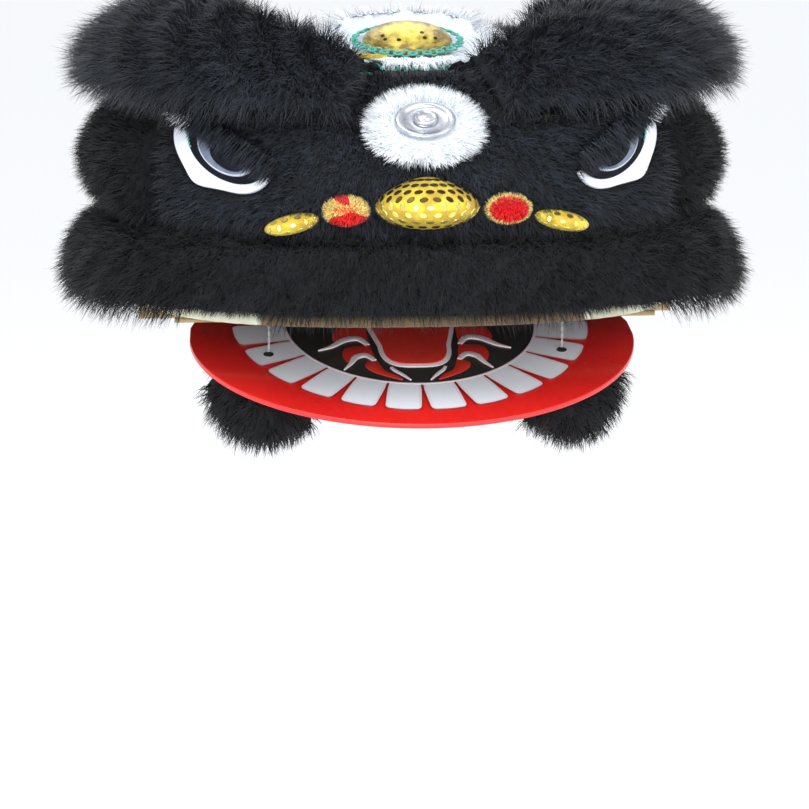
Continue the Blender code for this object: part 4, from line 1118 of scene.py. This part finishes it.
def tooth_outline(tooth, count=12):
    """One tooth between the mouth's arch and its outer edge, with slits that open outwards."""
    reach = 180 / count
    first, last = tooth * reach, (tooth + 1) * reach
    inner, outer = (0.1243, 0.1243), (0.178, 0.178)

    def at(angle, share):
        half_width = inner[0] + share * (outer[0] - inner[0])
        length = inner[1] + share * (outer[1] - inner[1])
        return arch(half_width, length, angle)

    def gap(share):
        return 0.25 + 1.25 * max(0, share - 0.25) / 0.75

    low = first + (0 if tooth == 0 else 1) * 0.0
    points = [at(low + (last - low) * step / 6, 0.0) for step in range(7)]
    free_last = tooth < count - 1
    free_first = tooth > 0
    for share in (0.12, 0.25, 0.45, 0.65, 0.82):
        points.append(at(last - (gap(share) if free_last else 0), share))
    for step in range(5):
        turn = math.radians(90 * step / 4)
        edge = last - (gap(0.86) if free_last else 0)
        points.append(at(edge - 1.9 * (1 - math.cos(turn)), 0.86 + 0.14 * math.sin(turn)))
    for step in range(1, 4):
        near = last - (gap(0.86) if free_last else 0) - 1.9
        far = first + (gap(0.86) if free_first else 0) + 1.9
        points.append(at(near + (far - near) * step / 4, 1.0 + 0.012 * math.sin(math.pi * step / 4)))
    for step in range(4, -1, -1):
        turn = math.radians(90 * step / 4)
        edge = first + (gap(0.86) if free_first else 0)
        points.append(at(edge + 1.9 * (1 - math.cos(turn)), 0.86 + 0.14 * math.sin(turn)))
    for share in (0.82, 0.65, 0.45, 0.25, 0.12):
        points.append(at(first + (gap(share) if free_first else 0), share))
    return points


def tongue_outline(trim):
    back, front, end = 0.0400 + trim, 0.0320 + trim, 0.128
    bend = 0.70 * end
    points = [(back, 0.026), (back * 0.99, 0.05)]
    for angle in range(0, 181, 6):
        turn = math.radians(angle)
        across = front * math.copysign(abs(math.cos(turn)) ** 0.6, math.cos(turn))
        points.append((across, bend + (end + trim - bend) * math.sin(turn) ** 0.8))
    return points + [(-back * 0.99, 0.05), (-back, 0.026)]


CURLS = {
    "upper": {
        "body": ((0.0450, 0.030), (0.062, 0.034), (0.074, 0.050), (0.080, 0.070), (0.075, 0.080), (0.066, 0.074),
                 (0.056, 0.072), (0.0455, 0.086)),
        "line": ((0.046, 0.086, 0.0045), (0.054, 0.073, 0.0075), (0.068, 0.075, 0.0080), (0.082, 0.088, 0.0050),
                 (0.096, 0.096, 0.0012)),
    },
    "middle": {
        "body": ((0.0440, 0.088), (0.058, 0.088), (0.069, 0.092), (0.073, 0.106), (0.069, 0.120), (0.062, 0.112),
                 (0.054, 0.106), (0.0415, 0.116)),
        "line": ((0.042, 0.118, 0.0045), (0.050, 0.107, 0.0070), (0.060, 0.111, 0.0070), (0.066, 0.123, 0.0045),
                 (0.074, 0.136, 0.0012)),
    },
    "lower": {
        "body": ((0.0395, 0.118), (0.050, 0.121), (0.052, 0.131), (0.044, 0.142), (0.030, 0.152), (0.018, 0.158),
                 (0.024, 0.148), (0.034, 0.138)),
        "line": ((0.027, 0.1325, 0.0030), (0.024, 0.139, 0.0036), (0.017, 0.148, 0.0034), (0.010, 0.159, 0.0012)),
    },
}


def build_jaw():
    widest = 0.245 - (0.245 - MOUTH_START) * 0.87
    outline = [arch(0.2215, 0.245 - widest, angle, widest) for angle in range(0, 181, 2)]
    outline += [(-0.2185, 0.040), (-0.2110, 0.022), (-0.200, 0.0155), (0.200, 0.0155), (0.2110, 0.022), (0.2185, 0.040)]
    shape = board_shape([outline], -BOARD_TOP, BOARD_TOP, 0.0012, 3)
    finish_shape("jaw_plate", shape, "board", "jaw", ("jaw_board",))
    floor = [arch(0.1237, 0.1237, angle) for angle in range(0, 181, 3)] + [(-0.1237, 0.020), (0.1237, 0.020)]
    finish_shape("mouth_edge", board_shape([floor], 0.0028, 0.0037), "navy", "jaw", ())
    floor = [arch(0.1212, 0.1212, angle) for angle in range(0, 181, 3)] + [(-0.1212, 0.020), (0.1212, 0.020)]
    finish_shape("mouth_paint", board_shape([floor], 0.0030, 0.0039), "floor", "jaw", ("mouth_floor",))
    outlines = [tooth_outline(tooth) for tooth in range(12)]
    rims = ((0.0008, (0, 1, 0, 1)), (0.0006, (1, 0, 0, 1)), (0.0030, (1, 0, 0, 1)))
    finish_shape("teeth_row", board_shape(outlines, 0.0028, 0.0044, 0.0004, 2, rims), "teeth", "jaw", ("teeth",))
    band = [arch(0.1268, 0.1268, angle) for angle in range(0, 181, 3)]
    band += [arch(0.1240, 0.1240, angle) for angle in range(180, -1, -3)]
    finish_shape("gum_line", board_shape([band], 0.0040, 0.0047), "trim", "jaw")
    trim = board_shape([tongue_outline(0.0045)], 0.0041, 0.0052)
    finish_shape("tongue_outline", trim, "trim", "jaw", ("tongue_trim",))
    tongue = board_shape([tongue_outline(0.0)], 0.0052, 0.0064, 0.0006, 3)
    finish_shape("tongue_paint", tongue, "tongue", "jaw", ("tongue",))
    for name, curl in CURLS.items():
        for side, sign in SIDES.items():
            body = [(sign * point[0], point[1]) for point in curve_through(curl["body"] + curl["body"][:1])[:-1]]
            line = [(sign * across, along) for across, along in stroke(curl["line"])]
            finish_shape("curl_paint_" + name + "_" + side, board_shape([body], 0.0041, 0.0050), "curl", "jaw",
                         ("curl_" + name + "_" + side,))
            finish_shape("curl_line_" + name + "_" + side, board_shape([line], 0.0041, 0.0055), "trim", "jaw")
    build_ties()


def build_ties():
    """White cords that hang the board under the mouth bar, each through a hole in the board."""
    for side, sign in SIDES.items():
        low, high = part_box("jaw_tie_" + side)
        x, y = (low.x + high.x) / 2, (low.y + high.y) / 2
        along = (HINGE.y - y) / math.cos(JAW_TILT)
        # A black disc on the board stands for each hole: painted shade, with no hole cut.
        ring = board_shape([circle(sign * abs(x), along, 0.0052)], 0.0030, 0.0048)
        finish_shape("tie_hole_shade_" + side, ring, "floor", "jaw")
        points = [Vector((x, y, low.z + 0.0006)), Vector((x + 0.0008, y, (low.z + high.z) / 2)), Vector((x, y, high.z))]
        shape = twisted_cord(points, 0.0013)
        cord = finish_shape("tie_cord_" + side, shape, "cord", "root", ("jaw_tie_" + side,), smooth=180)
        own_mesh(cord)


def circle(across, along, radius, points=24):
    turns = [2 * math.pi * index / points for index in range(points)]
    return [(across + radius * math.cos(turn), along + radius * math.sin(turn)) for turn in turns]


def twisted_cord(points, radius):
    """Two strands wound round each other along a path."""
    line = curve_through(points, 14)
    shape = bmesh.new()
    for strand in (0, math.pi):
        rings = []
        for index, here in enumerate(line):
            turn = strand + index * 0.55
            middle = Vector(here) + Vector((math.cos(turn), math.sin(turn), 0)) * radius * 0.5
            made = bmesh.ops.create_circle(shape, segments=7, radius=radius * 0.62, matrix=Matrix.Translation(middle))
            rings.append(list({edge for point in made["verts"] for edge in point.link_edges}))
        for low, high in zip(rings, rings[1:]):
            bmesh.ops.bridge_loops(shape, edges=low + high)
    bmesh.ops.holes_fill(shape, edges=shape.edges, sides=0)
    return shape


# Rim and bars
def tube_piece(name, points, radii, look, stands_for, body="root", cyclic=False, sides=6):
    curve = bpy.data.curves.new(name, "CURVE")
    curve.dimensions = "3D"
    curve.bevel_depth = 1
    curve.bevel_resolution = sides
    curve.use_fill_caps = not cyclic
    line = curve.splines.new("POLY")
    line.points.add(len(points) - 1)
    for point, co, radius in zip(line.points, points, radii):
        point.co = (*co, 1)
        point.radius = radius
    line.use_cyclic_u = cyclic
    carrier = bpy.data.objects.new(name, curve)
    bpy.context.scene.collection.objects.link(carrier)
    bpy.context.view_layer.update()
    mesh = bpy.data.meshes.new_from_object(carrier.evaluated_get(bpy.context.evaluated_depsgraph_get()))
    bpy.data.objects.remove(carrier)
    mesh.name = name
    mesh.shade_smooth()
    return add_piece(name, mesh, look, body, stands_for)


def build_rim():
    points, radii = [], []
    count = 720
    for index in range(count):
        turn = 2 * math.pi * index / count
        across, ahead = math.sin(turn), math.cos(turn)
        wide = abs(across / HOOP["half_width"]) ** HEAD_ROUNDNESS
        deep = abs(ahead / HOOP["half_depth"]) ** HEAD_ROUNDNESS
        reach = (wide + deep) ** (-1 / HEAD_ROUNDNESS)
        points.append((reach * across, HOOP["middle"] - reach * ahead, HOOP["height"]))
        radii.append(HOOP["radius"] * (0.97 + 0.05 * (index % 9) / 8))
    tube_piece("rim_tape_hoop", points, radii, "wrap", ("rim_hoop",), cyclic=True)
    for node, knots in (("hinge_bar", 4), ("mouth_bar", 5)):
        low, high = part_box(node)
        middle = (low + high) / 2
        radius = (high.z - low.z) / 2
        count = 160
        points = [(low.x + (high.x - low.x) * index / count, middle.y, middle.z) for index in range(count + 1)]
        radii = []
        for index in range(count + 1):
            apart = abs((index / count * knots) % 1 - 0.5) * count / knots
            radii.append(radius * (0.93 + 0.07 * math.exp(-((apart / 1.4) ** 2))))
        tube_piece(node + "_cane", points, radii, "bamboo", (node,))


def dress_nodes():
    """Gives every node that stays in view its finish."""
    looks = {"head_shell": "lining", "jaw_loop_left": "red_cloth", "jaw_loop_right": "red_cloth"}
    for name, obj in NODES.items():
        obj.data.materials.clear()
        obj.data.materials.append(LOOKS[looks.get(name, "black_under")].material)


# Floor, light and camera
def build_stage():
    shape = bmesh.new()
    bmesh.ops.create_grid(shape, x_segments=1, y_segments=1, size=40)
    bmesh.ops.translate(shape, verts=shape.verts, vec=(0, 0, -0.62))
    mesh = bpy.data.meshes.new("studio_floor")
    shape.to_mesh(mesh)
    shape.free()
    paper = Finish("studio_paper", "", (0.92, 0.92, 0.92), 0.9)
    grain = paper.noise(paper.place(), 30, 2)
    paper.colour(paper.mix(grain * 0.1, (0.96, 0.96, 0.96), (0.93, 0.93, 0.93)))
    mesh.materials.append(paper.material)
    floor = bpy.data.objects.new("studio_floor", mesh)
    bpy.context.scene.collection.objects.link(floor)


def add_light(name, place, aim, size, power, colour=(1, 1, 1)):
    data = bpy.data.lights.new(name, "AREA")
    data.shape = "RECTANGLE"
    data.size, data.size_y = size
    data.energy = power
    data.color = colour
    light = bpy.data.objects.new(name, data)
    light.location = place
    light.rotation_mode = "QUATERNION"
    light.rotation_quaternion = (Vector(aim) - Vector(place)).to_track_quat("-Z", "Y")
    bpy.context.scene.collection.objects.link(light)


def build_light():
    world = bpy.data.worlds.new("studio")
    bpy.context.scene.world = world
    world.use_nodes = True
    world.node_tree.nodes["Background"].inputs["Color"].default_value = (0.95, 0.97, 1.0, 1)
    world.node_tree.nodes["Background"].inputs["Strength"].default_value = 1.0
    add_light("sky_panel", (-0.8, -1.6, 2.4), (0, 0, 0.05), (2.0, 1.6), 45, (0.97, 0.98, 1.0))
    add_light("front_panel", (1.2, -2.4, 1.0), (0, 0, 0.05), (1.6, 1.2), 18)
    add_light("low_panel", (-0.3, -2.6, -0.25), (0, -0.1, -0.03), (1.4, 0.5), 17)
    add_light("back_panel", (0, 2.2, 2.0), (0, 0, 0.1), (2.0, 1.2), 16)
    bpy.context.scene.view_settings.view_transform = "Standard"


def build_camera():
    azimuth, elevation, distance = math.radians(-6), math.radians(9), 12.0
    aim = Vector((0.0, -0.0144, -0.1200))
    back = Vector((math.sin(azimuth) * math.cos(elevation), -math.cos(azimuth) * math.cos(elevation), math.sin(elevation)))
    data = bpy.data.cameras.new("camera")
    data.lens = 36 * distance / 0.809
    data.sensor_width = 36
    data.clip_end = 100
    camera = bpy.data.objects.new("camera", data)
    camera.location = aim + back * distance
    camera.rotation_mode = "QUATERNION"
    camera.rotation_quaternion = (-back).to_track_quat("-Z", "Y")
    bpy.context.scene.collection.objects.link(camera)
    bpy.context.scene.camera = camera


build_camera()
build_light()
build_stage()
dress_nodes()
build_fur()
build_rosette()
build_eyes()
build_nose()
build_horn()
build_jaw()
build_rim()
